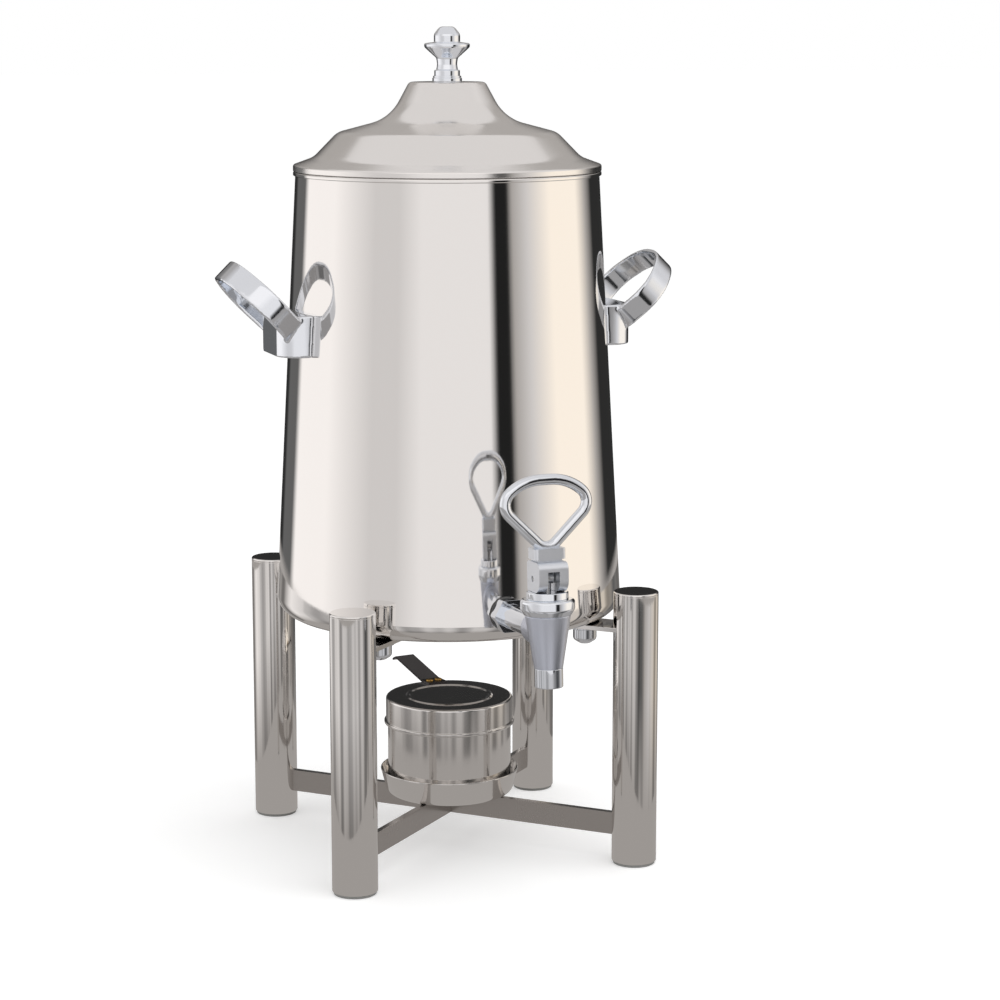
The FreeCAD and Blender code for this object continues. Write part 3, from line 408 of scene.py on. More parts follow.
def rounded(profile, steps=8):
    """(r, z, corner radius) corners as a line of (r, z) points with arcs in the corners."""
    points = []
    last = len(profile) - 1
    for i, (r, z, radius) in enumerate(profile):
        if radius <= 0 or i in (0, last):
            points.append((r, z))
            continue
        before = (profile[i - 1][0] - r, profile[i - 1][1] - z)
        after = (profile[i + 1][0] - r, profile[i + 1][1] - z)
        long_a, long_b = math.hypot(*before), math.hypot(*after)
        a = (before[0] / long_a, before[1] / long_a)
        b = (after[0] / long_b, after[1] / long_b)
        half = math.acos(max(-1.0, min(1.0, a[0] * b[0] + a[1] * b[1]))) / 2
        reach = min(radius / math.tan(half), LONGEST_CORNER * min(long_a, long_b))
        radius = reach * math.tan(half)
        mid = (a[0] + b[0], a[1] + b[1])
        out = radius / math.sin(half) / math.hypot(*mid)
        centre = (r + mid[0] * out, z + mid[1] * out)
        start = math.atan2(z + a[1] * reach - centre[1], r + a[0] * reach - centre[0])
        end = math.atan2(z + b[1] * reach - centre[1], r + b[0] * reach - centre[0])
        turn = (end - start + math.pi) % (2 * math.pi) - math.pi
        for k in range(steps + 1):
            angle = start + turn * k / steps
            points.append((centre[0] + radius * math.cos(angle), centre[1] + radius * math.sin(angle)))
    return points


def turned(name, profile, steps=96, sharp_deg=32, corner_steps=8):
    """Spin a (r, z, corner radius) outline in millimetres about Z.
    It starts and ends on the axis, or on one point."""
    points = rounded(profile, corner_steps)
    clear_selection()
    r, z = points[0]
    bpy.ops.mesh.primitive_plane_add(size=MM, location=(r * MM, 0, z * MM))
    piece = bpy.context.object
    piece.name = name
    bpy.ops.object.transform_apply(location=True, rotation=False, scale=False)
    bpy.ops.object.mode_set(mode="EDIT")
    bpy.ops.mesh.select_all(action="SELECT")
    bpy.ops.mesh.merge(type="CENTER")
    for new_r, new_z in points[1:]:
        step = ((new_r - r) * MM, 0, (new_z - z) * MM)
        bpy.ops.mesh.extrude_region_move(TRANSFORM_OT_translate={"value": step})
        r, z = new_r, new_z
    bpy.ops.mesh.select_all(action="SELECT")
    bpy.ops.mesh.spin(steps=steps, angle=2 * math.pi, center=(0, 0, 0), axis=(0, 0, 1))
    bpy.ops.mesh.select_all(action="SELECT")
    bpy.ops.mesh.remove_doubles(threshold=WELD_MM * MM)
    bpy.ops.mesh.normals_make_consistent(inside=False)
    bpy.ops.object.mode_set(mode="OBJECT")
    return smoothed(piece, sharp_deg)


def smoothed(piece, sharp_deg):
    """Smooth shading that keeps hard edges, led by the large faces so that long walls stay true."""
    bpy.ops.object.shade_smooth_by_angle(angle=math.radians(sharp_deg))
    weighted = piece.modifiers.new("weighted", "WEIGHTED_NORMAL")
    weighted.keep_sharp = True
    weighted.weight = 80
    bpy.ops.object.modifier_apply(modifier="weighted")
    return piece


def put(piece, location=(0, 0, 0), turn=(0, 0, 0)):
    """Set a piece in its place, turned, and write that place into its mesh."""
    clear_selection()
    piece.select_set(True)
    bpy.context.view_layer.objects.active = piece
    piece.rotation_euler = turn
    piece.location = [v * MM for v in location]
    bpy.ops.object.transform_apply(location=True, rotation=True, scale=True)
    return piece


def put_on_tap(piece, along=0.0):
    """Move a piece made about the valve's axis to the tap, square to the leaning wall."""
    tap = sizes("tap")
    put(piece, location=(0, -along, 0))
    return put(piece, location=(0, -tap.wall_r, tap.centre_z), turn=(-tap.wall_angle, 0, 0))


def merged_copy(node, name, edge_mm=0.0, edge_steps=2, sharp_deg=30):
    """A welded copy of a CAD node, its hard edges rounded by edge_mm as a polisher leaves them."""
    clear_selection()
    piece = bpy.data.objects.new(name, frame["nodes"][node].data.copy())
    bpy.context.scene.collection.objects.link(piece)
    piece.select_set(True)
    bpy.context.view_layer.objects.active = piece
    piece.data.materials.clear()
    bpy.ops.object.mode_set(mode="EDIT")
    bpy.ops.mesh.select_all(action="SELECT")
    bpy.ops.mesh.remove_doubles(threshold=COPY_WELD_MM * MM)
    if edge_mm:
        bpy.ops.mesh.dissolve_limited(angle_limit=math.radians(FLAT_DEG))
    bpy.ops.object.mode_set(mode="OBJECT")
    if edge_mm:
        bevel = piece.modifiers.new("edges", "BEVEL")
        bevel.width = edge_mm * MM
        bevel.segments = edge_steps
        bevel.limit_method = "ANGLE"
        bevel.angle_limit = math.radians(sharp_deg)
        bevel.use_clamp_overlap = True
        bpy.ops.object.modifier_apply(modifier="edges")
    return smoothed(piece, sharp_deg)


def casting_copy(node, name, voxel_mm, passes):
    """A welded copy of a CAD node with every corner melted soft, as a polished casting has them."""
    piece = merged_copy(node, name)
    grain = piece.modifiers.new("even skin", "REMESH")
    grain.mode = "VOXEL"
    grain.voxel_size = voxel_mm * MM
    bpy.ops.object.modifier_apply(modifier="even skin")
    soft = piece.modifiers.new("soft corners", "SMOOTH")
    soft.factor = 0.5
    soft.iterations = passes
    bpy.ops.object.modifier_apply(modifier="soft corners")
    bpy.ops.object.shade_smooth()
    return piece


def finish_piece(piece, body, material, slot, *nodes):
    """Give a piece its finish, its body and the nodes that it stands for."""
    piece.data.materials.clear()
    piece.data.materials.append(material)
    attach(piece, body)
    if nodes:
        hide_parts(*nodes)
    return piece


def body_of_node(node):
    for body, nodes in frame["record"]["behaviour"]["bodies"].items():
        if node in nodes:
            return body
    raise RuntimeError("no body holds " + node)


LEG_PLACES = {"front_left": (-1, -1), "front_right": (1, -1), "rear_right": (1, 1), "rear_left": (-1, 1)}


# Pieces


class URN_OT_body(bpy.types.Operator):
    """Spin the tapered body with its base corner and rolled rim"""
    bl_idname = "urn.body"
    bl_label = "Urn body"

    def execute(self, context):
        s = sizes("body")
        neck_z = s.top_z - 2 * s.bead_r
        bead_out = s.top_r + s.bead_r
        body = turned("urn_body_shell", [
            (0, s.base_z, 0), (s.bottom_r, s.base_z, s.corner_r), (s.top_r, neck_z, 0),
            (bead_out, neck_z, s.bead_r), (bead_out, s.top_z, s.bead_r), (s.top_r - s.wall, s.top_z, 0),
            (s.bottom_r - s.wall, s.base_z + s.wall, s.corner_r - s.wall), (0, s.base_z + s.wall, 0)],
            s.round_steps)
        finish_piece(body, "urn", mirror_stainless(), "polished_steel", "urn_body")
        return {"FINISHED"}


class URN_OT_lid(bpy.types.Operator):
    """Spin the domed lid with its edge, flange, shoulder, neck and crown"""
    bl_idname = "urn.lid"
    bl_label = "Lid"

    def execute(self, context):
        s, b = sizes("lid"), sizes("body")
        rim = b.top_r + s.overhang
        z0 = b.top_z + s.seat_gap
        z1 = z0 + s.edge_h
        z2 = z1 + s.flange_rise
        z3 = z2 + s.shoulder_rise
        z4 = z3 + s.slope_rise
        z5 = z4 + s.neck_rise
        flange_r = rim - s.flange_w
        shoulder_r = flange_r - s.shoulder_w
        neck_r = s.crown_r + s.neck_w
        t = b.wall
        lid = turned("lid_shell", [
            (0, z5, 0), (s.crown_r, z5, s.crown_round), (neck_r, z4, s.neck_round),
            (shoulder_r, z3, s.shoulder_round), (flange_r, z2, s.flange_round), (rim, z1, s.edge_round),
            (rim, z0, s.hem_round), (rim - t, z0, 0), (rim - t, z1 - t, s.edge_round - t),
            (flange_r, z2 - t, s.flange_round), (shoulder_r, z3 - t, s.shoulder_round),
            (neck_r, z4 - t, s.neck_round), (s.crown_r - t, z5 - t, s.crown_round - t), (0, z5 - t, 0)],
            b.round_steps, corner_steps=14)
        ring_r = b.top_r - t - s.ring_gap
        ring_low, ring_top = z0 - s.ring_drop, z1 + s.ring_rise
        ring = turned("lid_locating_ring", [
            (ring_r, ring_low, 0), (ring_r, ring_top, 0), (ring_r - s.ring_wall, ring_top, 0),
            (ring_r - s.ring_wall, ring_low, 0), (ring_r, ring_low, 0)], b.round_steps)
        finish_piece(lid, "lid", spun_stainless(), "polished_steel", "lid")
        finish_piece(ring, "lid", spun_stainless(), "polished_steel")
        return {"FINISHED"}


# The knob from its foot up, as (radius, height above the lid, corner radius); the dome hangs from its top.
KNOB_OUTLINE = [
    (10.4, 0, 0.5), (10.4, 2.6, 0.5), (9.9, 2.8, 0.3), (9.9, 4.2, 0.8), (9.0, 4.2, 0), (9.0, 8.2, 1.6),
    (7.6, 8.2, 0.6), (7.0, 12.3, 6.0), (7.6, 16.4, 2.5), (15.4, 23.4, 0.8), (16.0, 24.4, 0.6),
    (16.0, 26.6, 1.2), (11.2, 27.2, 0.8), (9.2, 27.4, 0.5)]
KNOB_DOME = [(9.2, -5.2, 4.5), (5.0, 0, 4.5), (0, 0, 0)]
KNOB_STUD_R = 2.5


class URN_OT_finial(bpy.types.Operator):
    """Turn the knob on the lid with its stud, foot, stem, cup and dome"""
    bl_idname = "urn.finial"
    bl_label = "Finial"

    def execute(self, context):
        seat, low, top = node_high("lid", 2), node_low("finial", 2), node_high("finial", 2)
        finial = turned("lid_finial", [
            (0, low, 0), (KNOB_STUD_R, low, 0), (KNOB_STUD_R, seat, 0),
            *[(r, seat + z, corner) for r, z, corner in KNOB_OUTLINE],
            *[(r, top + z, corner) for r, z, corner in KNOB_DOME]], corner_steps=6)
        finish_piece(finial, "lid", bright_chrome(), "bright_chrome", "finial")
        return {"FINISHED"}


class URN_OT_legs(bpy.types.Operator):
    """Turn the four leg tubes with their caps and feet"""
    bl_idname = "urn.legs"
    bl_label = "Legs"

    def execute(self, context):
        s = sizes("stand")
        side = s.circle_r / math.sqrt(2)
        bore = s.leg_r - s.tube_wall
        plug_r = bore - s.plug_gap
        cap_z = s.leg_h - s.cap_h
        cap_low, foot_top = cap_z - s.plug_h, s.foot_h + s.plug_h
        foot_r = s.leg_r - s.foot_inset
        for name, (sx, sy) in LEG_PLACES.items():
            place = (sx * side, sy * side, 0)
            tube = turned("leg_tube_" + name, [
                (bore, s.foot_h, 0), (s.leg_r, s.foot_h, s.tube_round), (s.leg_r, cap_z, s.seam_round),
                (bore, cap_z, 0), (bore, s.foot_h, 0)])
            cap = turned("leg_top_" + name, [
                (0, cap_low, 0), (plug_r, cap_low, s.plug_round), (plug_r, cap_z, 0),
                (s.leg_r, cap_z, s.seam_round), (s.leg_r, s.leg_h, s.cap_round), (0, s.leg_h, 0)])
            foot = turned("leg_glide_" + name, [
                (0, 0, 0), (foot_r, 0, s.foot_round), (foot_r, s.foot_h, 0), (plug_r, s.foot_h, 0),
                (plug_r, foot_top, s.plug_round), (0, foot_top, 0)], SMALL_STEPS)
            finish_piece(put(tube, place), "urn", tube_stainless(), "polished_steel", "leg_" + name)
            finish_piece(put(cap, place), "urn", tube_stainless(), "polished_steel", "leg_cap_" + name)
            finish_piece(put(foot, place), "urn", rubber("grey nylon glide", finishes().foot, 0.6),
                         "dark_rubber", "leg_foot_" + name)
        return {"FINISHED"}


class URN_OT_base_fittings(bpy.types.Operator):
    """Make the brackets, their dome nuts and studs, and the two cross bars"""
    bl_idname = "urn.base_fittings"
    bl_label = "Brackets and cross bars"

    def execute(self, context):
        for name in LEG_PLACES:
            plate = merged_copy("bracket_" + name, "bracket_plate_" + name, edge_mm=0.5)
            finish_piece(plate, "urn", pressed_stainless(), "polished_steel", "bracket_" + name)
        nuts = merged_copy("dome_nuts", "dome_nuts_set", edge_mm=0.25)
        finish_piece(nuts, "urn", bright_chrome(), "bright_chrome", "dome_nuts")
        studs = merged_copy("base_studs", "base_studs_set")
        finish_piece(studs, "urn", plain_stainless(), "plain_steel", "base_studs")
        for node in ("cross_bar_lower_half", "cross_bar_upper_half"):
            bar = merged_copy(node, node + "_bar", edge_mm=0.5)
            finish_piece(bar, "urn", brushed_bar(), "polished_steel", node)
        return {"FINISHED"}


# The dish's lip as (radius past the rim, height past the rim, corner radius)
DISH_LIP = [(-0.3, -0.6, 0.8), (-0.5, 0, 0.4), (-1.0, 0, 0.2)]


class URN_OT_burner(bpy.types.Operator):
    """Spin the dish, the fuel holder and the snuffer cover, with its strip and rivets"""
    bl_idname = "urn.burner"
    bl_label = "Burner"

    def execute(self, context):
        s = sizes("burner")
        z0, z1 = s.dish_z, s.dish_z + s.dish_h
        dish = turned("burner_dish_pan", [
            (0, z0, 0), (s.dish_foot_r, z0, s.dish_round),
            *[(s.dish_r + r, z1 + z, corner) for r, z, corner in DISH_LIP],
            (s.dish_foot_r - s.dish_sheet, z0 + s.dish_sheet, s.dish_round), (0, z0 + s.dish_sheet, 0)],
            FINE_STEPS)
        finish_piece(dish, "urn", pressed_stainless(), "polished_steel", "burner_dish")
        low, t = s.holder_z, s.sheet
        inner = s.holder_r - t
        foot = s.dish_foot_r - s.foot_ring_in
        foot_z = z0 + s.foot_ring_gap
        can = turned("fuel_holder_can", [
            (0, low, 0), (foot - t, low, 0), (foot - t, foot_z, 0), (foot, foot_z, s.rim_round),
            (foot, low, 0), (s.holder_r, low, s.holder_round), (s.holder_r, s.holder_top, s.rim_round),
            (inner, s.holder_top, s.rim_round), (inner, low + t, s.inner_round), (0, low + t, 0)], FINE_STEPS)
        finish_piece(can, "fuel_holder", pressed_stainless(), "polished_steel", "fuel_holder")
        skirt_z = s.cover_top - s.skirt_h
        inside = s.cover_r - t
        bead = s.cover_r + s.bead_r
        bead_z = skirt_z + 2 * s.bead_r
        ring, half, flat = s.ring_r, s.ring_half_w, s.ring_flat_w
        top = s.cover_top
        ring_z = top + s.ring_h
        cover = turned("snuffer_cover_cap", [
            (0, top, 0), (ring - half, top, flat), (ring - flat, ring_z, flat), (ring + flat, ring_z, flat),
            (ring + half, top, flat), (s.cover_r, top, s.cover_round), (s.cover_r, bead_z, s.rim_round),
            (bead, bead_z, s.bead_round), (bead, skirt_z, s.bead_round), (inside, skirt_z, s.rim_round),
            (inside, top - t, s.inner_round), (0, top - t, 0)], FINE_STEPS)
        finish_piece(cover, "snuffer_cover", pressed_stainless(), "polished_steel", "snuffer_cover")
        # The lifting strip's dark finish is a painted reflection.
        strip = merged_copy("cover_strip", "cover_lifting_strip", edge_mm=0.4)
        finish_piece(strip, "snuffer_cover", painted_dark_reflection_steel(), "plain_steel", "cover_strip")
        rivets = merged_copy("cover_rivets", "cover_rivets_set")
        finish_piece(rivets, "snuffer_cover", rivet_brass(), "brass", "cover_rivets")
        screw = merged_copy("dish_screw", "dish_screw_piece")
        finish_piece(screw, "urn", plain_stainless(), "plain_steel", "dish_screw")
        return {"FINISHED"}


class URN_OT_handles(bpy.types.Operator):
    """Melt the corners of the two cast loop handles soft"""
    bl_idname = "urn.handles"
    bl_label = "Handles"

    def execute(self, context):
        for node in ("handle_right", "handle_left"):
            handle = casting_copy(node, node + "_casting", voxel_mm=0.7, passes=14)
            finish_piece(handle, "urn", cast_chrome(), "bright_chrome", node)
        return {"FINISHED"}


class URN_OT_tap(bpy.types.Operator):
    """Turn the outlet tip, collar and bonnet, and round off the tapered body and the lever"""
    bl_idname = "urn.tap"
    bl_label = "Tap"

    def execute(self, context):
        s = sizes("tap")
        edge = s.edge_round
        tip_top = -s.cone_down
        tip_low, socket = tip_top - s.tip_h, tip_top + s.socket_h
        tip = turned("spout_tip_ring", [
            (s.outlet_r, tip_low, edge), (s.tip_r, tip_low, 2 * edge), (s.tip_r, tip_top, edge),
            (s.socket_r, tip_top, 0), (s.socket_r, socket, 0), (s.outlet_r, socket, 0),
            (s.outlet_r, tip_low, 0)], SMALL_STEPS)
        finish_piece(put_on_tap(tip, s.reach), "urn", bright_chrome(), "bright_chrome", "spout_tip")
        low, high = s.cone_up, s.cone_up + s.collar_h
        inner = s.cone_top_r - s.body_wall
        collar = turned("tap_collar_ring", [
            (inner, low, 0), (s.cone_top_r + s.collar_foot, low, edge),
            (s.collar_r, low + s.collar_flare, s.collar_round), (s.collar_r, high, s.collar_round),
            (inner, high, 0), (inner, low, 0)])
        finish_piece(put_on_tap(collar, s.reach), "urn", bright_chrome(), "bright_chrome", "tap_collar")
        bonnet_top, skirt = high + s.bonnet_h, high - s.skirt_h
        skirt_r = inner - s.skirt_gap
        bonnet = turned("bonnet_flange", [
            (s.stem_bore_r, skirt, 0), (skirt_r, skirt, 0.6), (skirt_r, high, 0), (s.bonnet_r, high, 0.6),
            (s.bonnet_r, bonnet_top, 0.8), (s.stem_bore_r, bonnet_top, 0), (s.stem_bore_r, skirt, 0)])
        finish_piece(put_on_tap(bonnet, s.reach), "urn", bright_chrome(), "bright_chrome", "bonnet")
        casting = merged_copy("tap_body", "tap_casting", edge_mm=0.4)
        finish_piece(casting, "urn", satin_chrome(), "satin_plated_brass", "tap_body")
        lever = merged_copy("lever", "lever_casting", edge_mm=1.2, edge_steps=4)
        finish_piece(lever, "lever", lever_chrome(), "bright_chrome", "lever")
        for node, material, slot in (("shank", bright_chrome(), "bright_chrome"),
                                     ("shank_nut", bright_chrome(), "bright_chrome"),
                                     ("stem", plain_stainless(), "plain_steel"),
                                     ("lever_pin", plain_stainless(), "plain_steel"),
                                     ("stem_spring", plain_stainless(), "plain_steel")):
            piece = merged_copy(node, node + "_piece", edge_mm=0.15)
            finish_piece(piece, body_of_node(node), material, slot, node)
        for node in ("shank_gasket_outer", "shank_gasket_inner", "seat_cup"):
            piece = merged_copy(node, node + "_piece", edge_mm=0.2)
            finish_piece(piece, body_of_node(node), rubber("grey silicone", finishes().rubber, 0.4),
                         "grey_rubber", node)
        return {"FINISHED"}


class URN_OT_inside_fasteners(bpy.types.Operator):
    """Make the screws, washers and nut that sit inside the body and the lid"""
    bl_idname = "urn.inside_fasteners"
    bl_label = "Inside fasteners"

    def execute(self, context):
        for node in ("handle_screws", "handle_washers", "finial_washer", "finial_nut"):
            piece = merged_copy(node, node + "_set", edge_mm=0.2)
            finish_piece(piece, body_of_node(node), plain_stainless(), "plain_steel", node)
        return {"FINISHED"}


# Studio: the cards that the polished metal reflects, by degrees round the urn from the camera, with + to
# its right. They are made of a few plain cloths and papers, and one runs softly into the next.

CARD_TONES = {"black": "202020", "charcoal": "2C2C2C", "slate": "606060", "grey": "A9A5A2",
              "silver": "D0CDCC", "pale": "E8E5E4", "white": "FAF6F4", "warm white": "FFF5E8",
              "sand": "DAD0C3"}
MAIN_CARDS = [
    (-180, "charcoal"), (-152, "charcoal"), (-146, "slate"), (-129, "slate"), (-122, "white"),
    (-88, "white"), (-52, "silver"), (-34, "silver"), (-18, "pale"), (28, "pale"), (33, "black"),
    (42, "black"), (46, "grey"), (58, "silver"), (78, "warm white"), (106, "warm white"), (119, "grey"),
    (130, "charcoal"), (179, "charcoal")]
HIGH_CARDS = [
    (-180, "grey"), (-130, "grey"), (-110, "silver"), (-84, "pale"), (-58, "silver"), (-30, "white"),
    (22, "white"), (44, "pale"), (66, "silver"), (88, "pale"), (116, "silver"), (142, "grey"),
    (179, "grey")]
LOW_CARDS = [
    (-180, "slate"), (-146, "slate"), (-130, "grey"), (-122, "grey"), (-108, "white"), (-84, "silver"),
    (-62, "white"), (-40, "silver"), (-16, "pale"), (12, "silver"), (28, "silver"), (35, "slate"),
    (43, "slate"), (50, "grey"), (64, "silver"), (84, "sand"), (104, "sand"), (122, "slate"), (142, "grey"),
    (160, "slate"), (179, "slate")]


def metres(name, value, description):
    """A length in metres that a user can change."""
    return FloatProperty(name=name, description=description, default=value, unit="LENGTH")


class UrnStudioSettings(bpy.types.PropertyGroup):
    camera_place: FloatVectorProperty(name="Camera", description="Place of the camera", subtype="XYZ",
                                      unit="LENGTH", default=(-0.6110, -1.8152, 0.5893))
    camera_forward: FloatVectorProperty(name="Forward", description="Where the camera looks", subtype="XYZ",
                                        default=(0.3322, 0.9271, -0.1738))
    lens: FloatProperty(name="Lens", description="Focal length in millimetres", default=97.05, unit="CAMERA")
    sensor_w: FloatProperty(name="Sensor", description="Width of the sensor in millimetres", default=36.0)
    floor_w: metres("Floor", 60.0, "Width of the floor")
    floor_glow: FloatProperty(name="Floor glow", description="How much paler the floor looks", default=0.34)
    lamp_place: FloatVectorProperty(name="Lamp", description="Place of the soft box", subtype="XYZ",
                                    unit="LENGTH", default=(0.5, -0.6, 2.4))
    lamp_aim_h: metres("Lamp aim", 0.2, "Height that the soft box points at, on the urn's axis")
    lamp_size: metres("Lamp size", 1.6, "Width of the soft box")
    lamp_power: FloatProperty(name="Lamp power", description="Power of the soft box in watts", default=14.0)
    ring_r: metres("Card ring", 1.2, "Radius of the ring of cards")
    ring_h: metres("Card height", 1.5, "Height of the ring of cards")
    ring_sink: metres("Card sink", 0.02, "How far the ring of cards reaches below the floor")
    low_ring_r: metres("Low ring", 0.3, "Radius of the low ring of cards")
    low_ring_h: metres("Low ring height", 0.16, "Height of the low ring of cards")
    ground_gap: metres("Ground gap", 0.0004, "Height of the ground cloth above the floor")
    high_from: metres("High from", 0.6, "Height where the cards start to change to the high ones")
    high_to: metres("High to", 0.9, "Height where the cards have changed to the high ones")
    ambient: FloatProperty(name="Ambient", description="Strength of the world's light", default=0.75)


FOLD_SCALE = 11.0
FOLD_LOW, FOLD_HIGH = 0.40, 0.60


class URN_OT_studio(bpy.types.Operator):
    """Set up the pale floor, the soft light, the reflecting cards and the camera"""
    bl_idname = "urn.studio"
    bl_label = "Studio"

    def execute(self, context):
        s = sizes("studio")
        scene = context.scene
        clear_selection()
        bpy.ops.mesh.primitive_plane_add(size=s.floor_w)
        floor = context.object
        floor.name = "floor"
        floor.data.materials.append(self.floor_material(s))
        self.cards(s)
        self.world(s)
        clear_selection()
        bpy.ops.object.light_add(type="AREA", location=s.lamp_place)
        lamp = context.object
        lamp.name = "overhead soft box"
        lamp.data.shape = "DISK"
        lamp.data.size = s.lamp_size
        lamp.data.energy = s.lamp_power
        lamp.visible_glossy = False
        aim = Vector(s.lamp_place) - Vector((0, 0, s.lamp_aim_h))
        lamp.rotation_euler = aim.to_track_quat("Z", "Y").to_euler()
        camera = bpy.data.objects.new("camera", bpy.data.cameras.new("camera"))
        scene.collection.objects.link(camera)
        camera.location = s.camera_place
        camera.rotation_euler = Vector(s.camera_forward).to_track_quat("-Z", "Y").to_euler()
        camera.data.lens = s.lens
        camera.data.sensor_width = s.sensor_w
        camera.data.clip_start, camera.data.clip_end = 0.05, 100.0
        scene.camera = camera
        scene.view_settings.view_transform = "Standard"
        return {"FINISHED"}

    def floor_material(self, s):
        material, tree = new_material("plain pale floor")
        level = add(tree, "ShaderNodeMath", {0: seen_sharply(tree), 1: s.floor_glow}, operation="MULTIPLY")
        dull = add(tree, "ShaderNodeBsdfDiffuse", {"Color": list(finishes().floor) + [1.0]})
        glow = add(tree, "ShaderNodeEmission", {"Strength": level.outputs[0]})
        both = add(tree, "ShaderNodeAddShader", {0: dull.outputs[0], 1: glow.outputs[0]})
        add(tree, "ShaderNodeOutputMaterial", {"Surface": both.outputs[0]})
        return material

    def cards(self, s):
        """Rings of pale and dark cards and two plain cloths that only the metal sees."""
        heading = math.degrees(math.atan2(s.camera_place[1], s.camera_place[0]))
        self.card_ring("card ring", s.ring_r, s.ring_h, -s.ring_sink,
                       self.card_material("reflecting cards", MAIN_CARDS, heading, strength=1.15))
        self.card_ring("low card ring", s.low_ring_r, s.low_ring_h, 0.0,
                       self.card_material("low cards", LOW_CARDS, heading, streaks=0.55, fade_h=0.09))
        self.cloth("ground cards", s.ring_r, s.ground_gap, self.plain_card("ground cloth", "grey"))
        self.cloth("ceiling cloth", s.ring_r, s.ring_h - s.ring_sink,
                   self.plain_card("ceiling cloth", "pale"))

    def card_ring(self, name, radius, height, foot_z, material):
        clear_selection()
        bpy.ops.mesh.primitive_cylinder_add(vertices=180, radius=radius, depth=height,
                                            end_fill_type="NOTHING", location=(0, 0, height / 2 + foot_z))
        self.hang(name, material)

    def cloth(self, name, radius, height, material):
        clear_selection()
        bpy.ops.mesh.primitive_circle_add(vertices=96, radius=radius, fill_type="NGON",
                                          location=(0, 0, height))
        self.hang(name, material)

    def hang(self, name, material):
        """Name the card just made and hide it from everything but reflections."""
        card = bpy.context.object
        card.name = name
        bpy.ops.object.transform_apply(location=True)
        card.data.materials.append(material)
        card.visible_camera = False
        card.visible_diffuse = False
        card.visible_transmission = False
        card.visible_shadow = False

    def plain_card(self, name, tone):
        material, tree = new_material(name)
        glow = add(tree, "ShaderNodeEmission", {"Color": srgb(CARD_TONES[tone])})
        add(tree, "ShaderNodeOutputMaterial", {"Surface": glow.outputs[0]})
        return material

    def round_ramp(self, tree, angle, stops):
        """Colour ramp over the bearing, from (degrees, tone) stops."""
        ramp = add(tree, "ShaderNodeValToRGB", {0: angle.outputs[0]})
        elements = ramp.color_ramp.elements
        while len(elements) > 1:
            elements.remove(elements[-1])
        places = [(bearing / 360 + 0.5, srgb(CARD_TONES[tone])) for bearing, tone in stops]
        elements[0].position, elements[0].color = places[0]
        for position, tint in places[1:]:
            elements.new(position).color = tint
        return ramp.outputs[0]

    def card_material(self, name, stops, heading, strength=1.0, streaks=0.0, fade_h=0.02):
        """Glowing cards whose tone changes with the bearing from the urn's axis.
        They change to HIGH_CARDS high up and to the ground's grey below fade_h. Streaks darkens folds."""
        s = sizes("studio")
        material, tree = new_material(name)
        place = add(tree, "ShaderNodeTexCoord").outputs["Object"]
        turn = add(tree, "ShaderNodeMapping", {0: place, "Rotation": (0, 0, -math.radians(heading))})
        angle = add(tree, "ShaderNodeTexGradient", {0: turn.outputs[0]}, gradient_type="RADIAL")
        height = add(tree, "ShaderNodeSeparateXYZ", {0: place}).outputs[2]
        upper = mixed(tree, ranged(tree, height, s.high_from, s.high_to, 0.0, 1.0),
                      self.round_ramp(tree, angle, stops), self.round_ramp(tree, angle, HIGH_CARDS))
        tone = mixed(tree, ranged(tree, height, 0.0, fade_h, 1.0, 0.0), upper, srgb(CARD_TONES["grey"]))
        upright = add(tree, "ShaderNodeMapping", {0: place, "Scale": (1, 1, 0)})
        folds = add(tree, "ShaderNodeTexNoise", {"Vector": upright.outputs[0], "Scale": FOLD_SCALE,
                                                 "Detail": 1.0, "Roughness": 0.5})
        shade = ranged(tree, folds.outputs[0], FOLD_LOW, FOLD_HIGH, strength * (1.0 - streaks), strength)
        glow = add(tree, "ShaderNodeEmission", {"Color": tone, "Strength": shade})
        add(tree, "ShaderNodeOutputMaterial", {"Surface": glow.outputs[0]})
        return material

    def world(self, s):
        world = bpy.data.worlds.new("studio")
        bpy.context.scene.world = world
        world.use_nodes = True
        tree = world.node_tree
        tree.nodes.clear()
        level = ranged(tree, seen_sharply(tree), 0.0, 1.0, s.ambient, 1.0)
        sky = add(tree, "ShaderNodeBackground", {"Color": (1, 1, 1, 1), "Strength": level})
        add(tree, "ShaderNodeOutputWorld", {"Surface": sky.outputs[0]})


class URN_PT_panel(bpy.types.Panel):
    """A button for each group of pieces in the 3D view's sidebar"""
    bl_idname = "URN_PT_panel"
    bl_label = "Coffee urn"
    bl_space_type = "VIEW_3D"
    bl_region_type = "UI"
    bl_category = "Urn"

    def draw(self, context):
        for operator in OPERATORS:
            self.layout.operator(operator.bl_idname)


GROUPS = {"body": UrnBodySizes, "lid": UrnLidSizes, "stand": UrnStandSizes, "burner": UrnBurnerSizes,
          "tap": UrnTapSizes, "finishes": UrnFinishes, "studio": UrnStudioSettings}
OPERATORS = (URN_OT_body, URN_OT_lid, URN_OT_finial, URN_OT_legs, URN_OT_base_fittings, URN_OT_burner,
             URN_OT_handles, URN_OT_tap, URN_OT_inside_fasteners, URN_OT_studio)


def register():
    for group in GROUPS.values():
        bpy.utils.register_class(group)
    for operator in OPERATORS:
        bpy.utils.register_class(operator)
    bpy.utils.register_class(URN_PT_panel)
    for name, group in GROUPS.items():
        setattr(bpy.types.Scene, "urn_" + name, PointerProperty(type=group))


def unregister():
    for name in GROUPS:
        delattr(bpy.types.Scene, "urn_" + name)
    bpy.utils.unregister_class(URN_PT_panel)
    for operator in reversed(OPERATORS):
        bpy.utils.unregister_class(operator)
    for group in reversed(list(GROUPS.values())):
        bpy.utils.unregister_class(group)


def main():
    register()
    for operator in OPERATORS:
        family, name = operator.bl_idname.split(".")
        getattr(getattr(bpy.ops, family), name)()


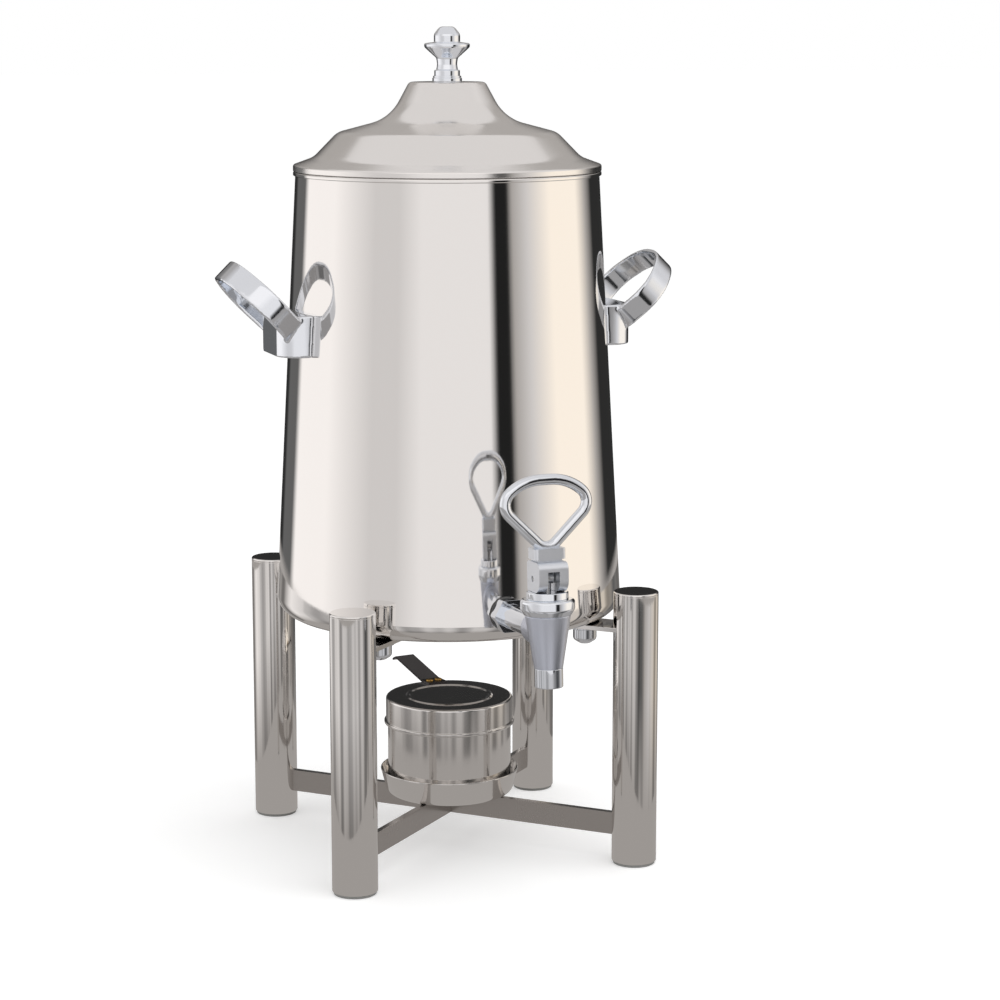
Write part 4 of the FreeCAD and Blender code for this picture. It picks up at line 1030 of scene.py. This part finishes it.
if __name__ == "__main__":
    main()
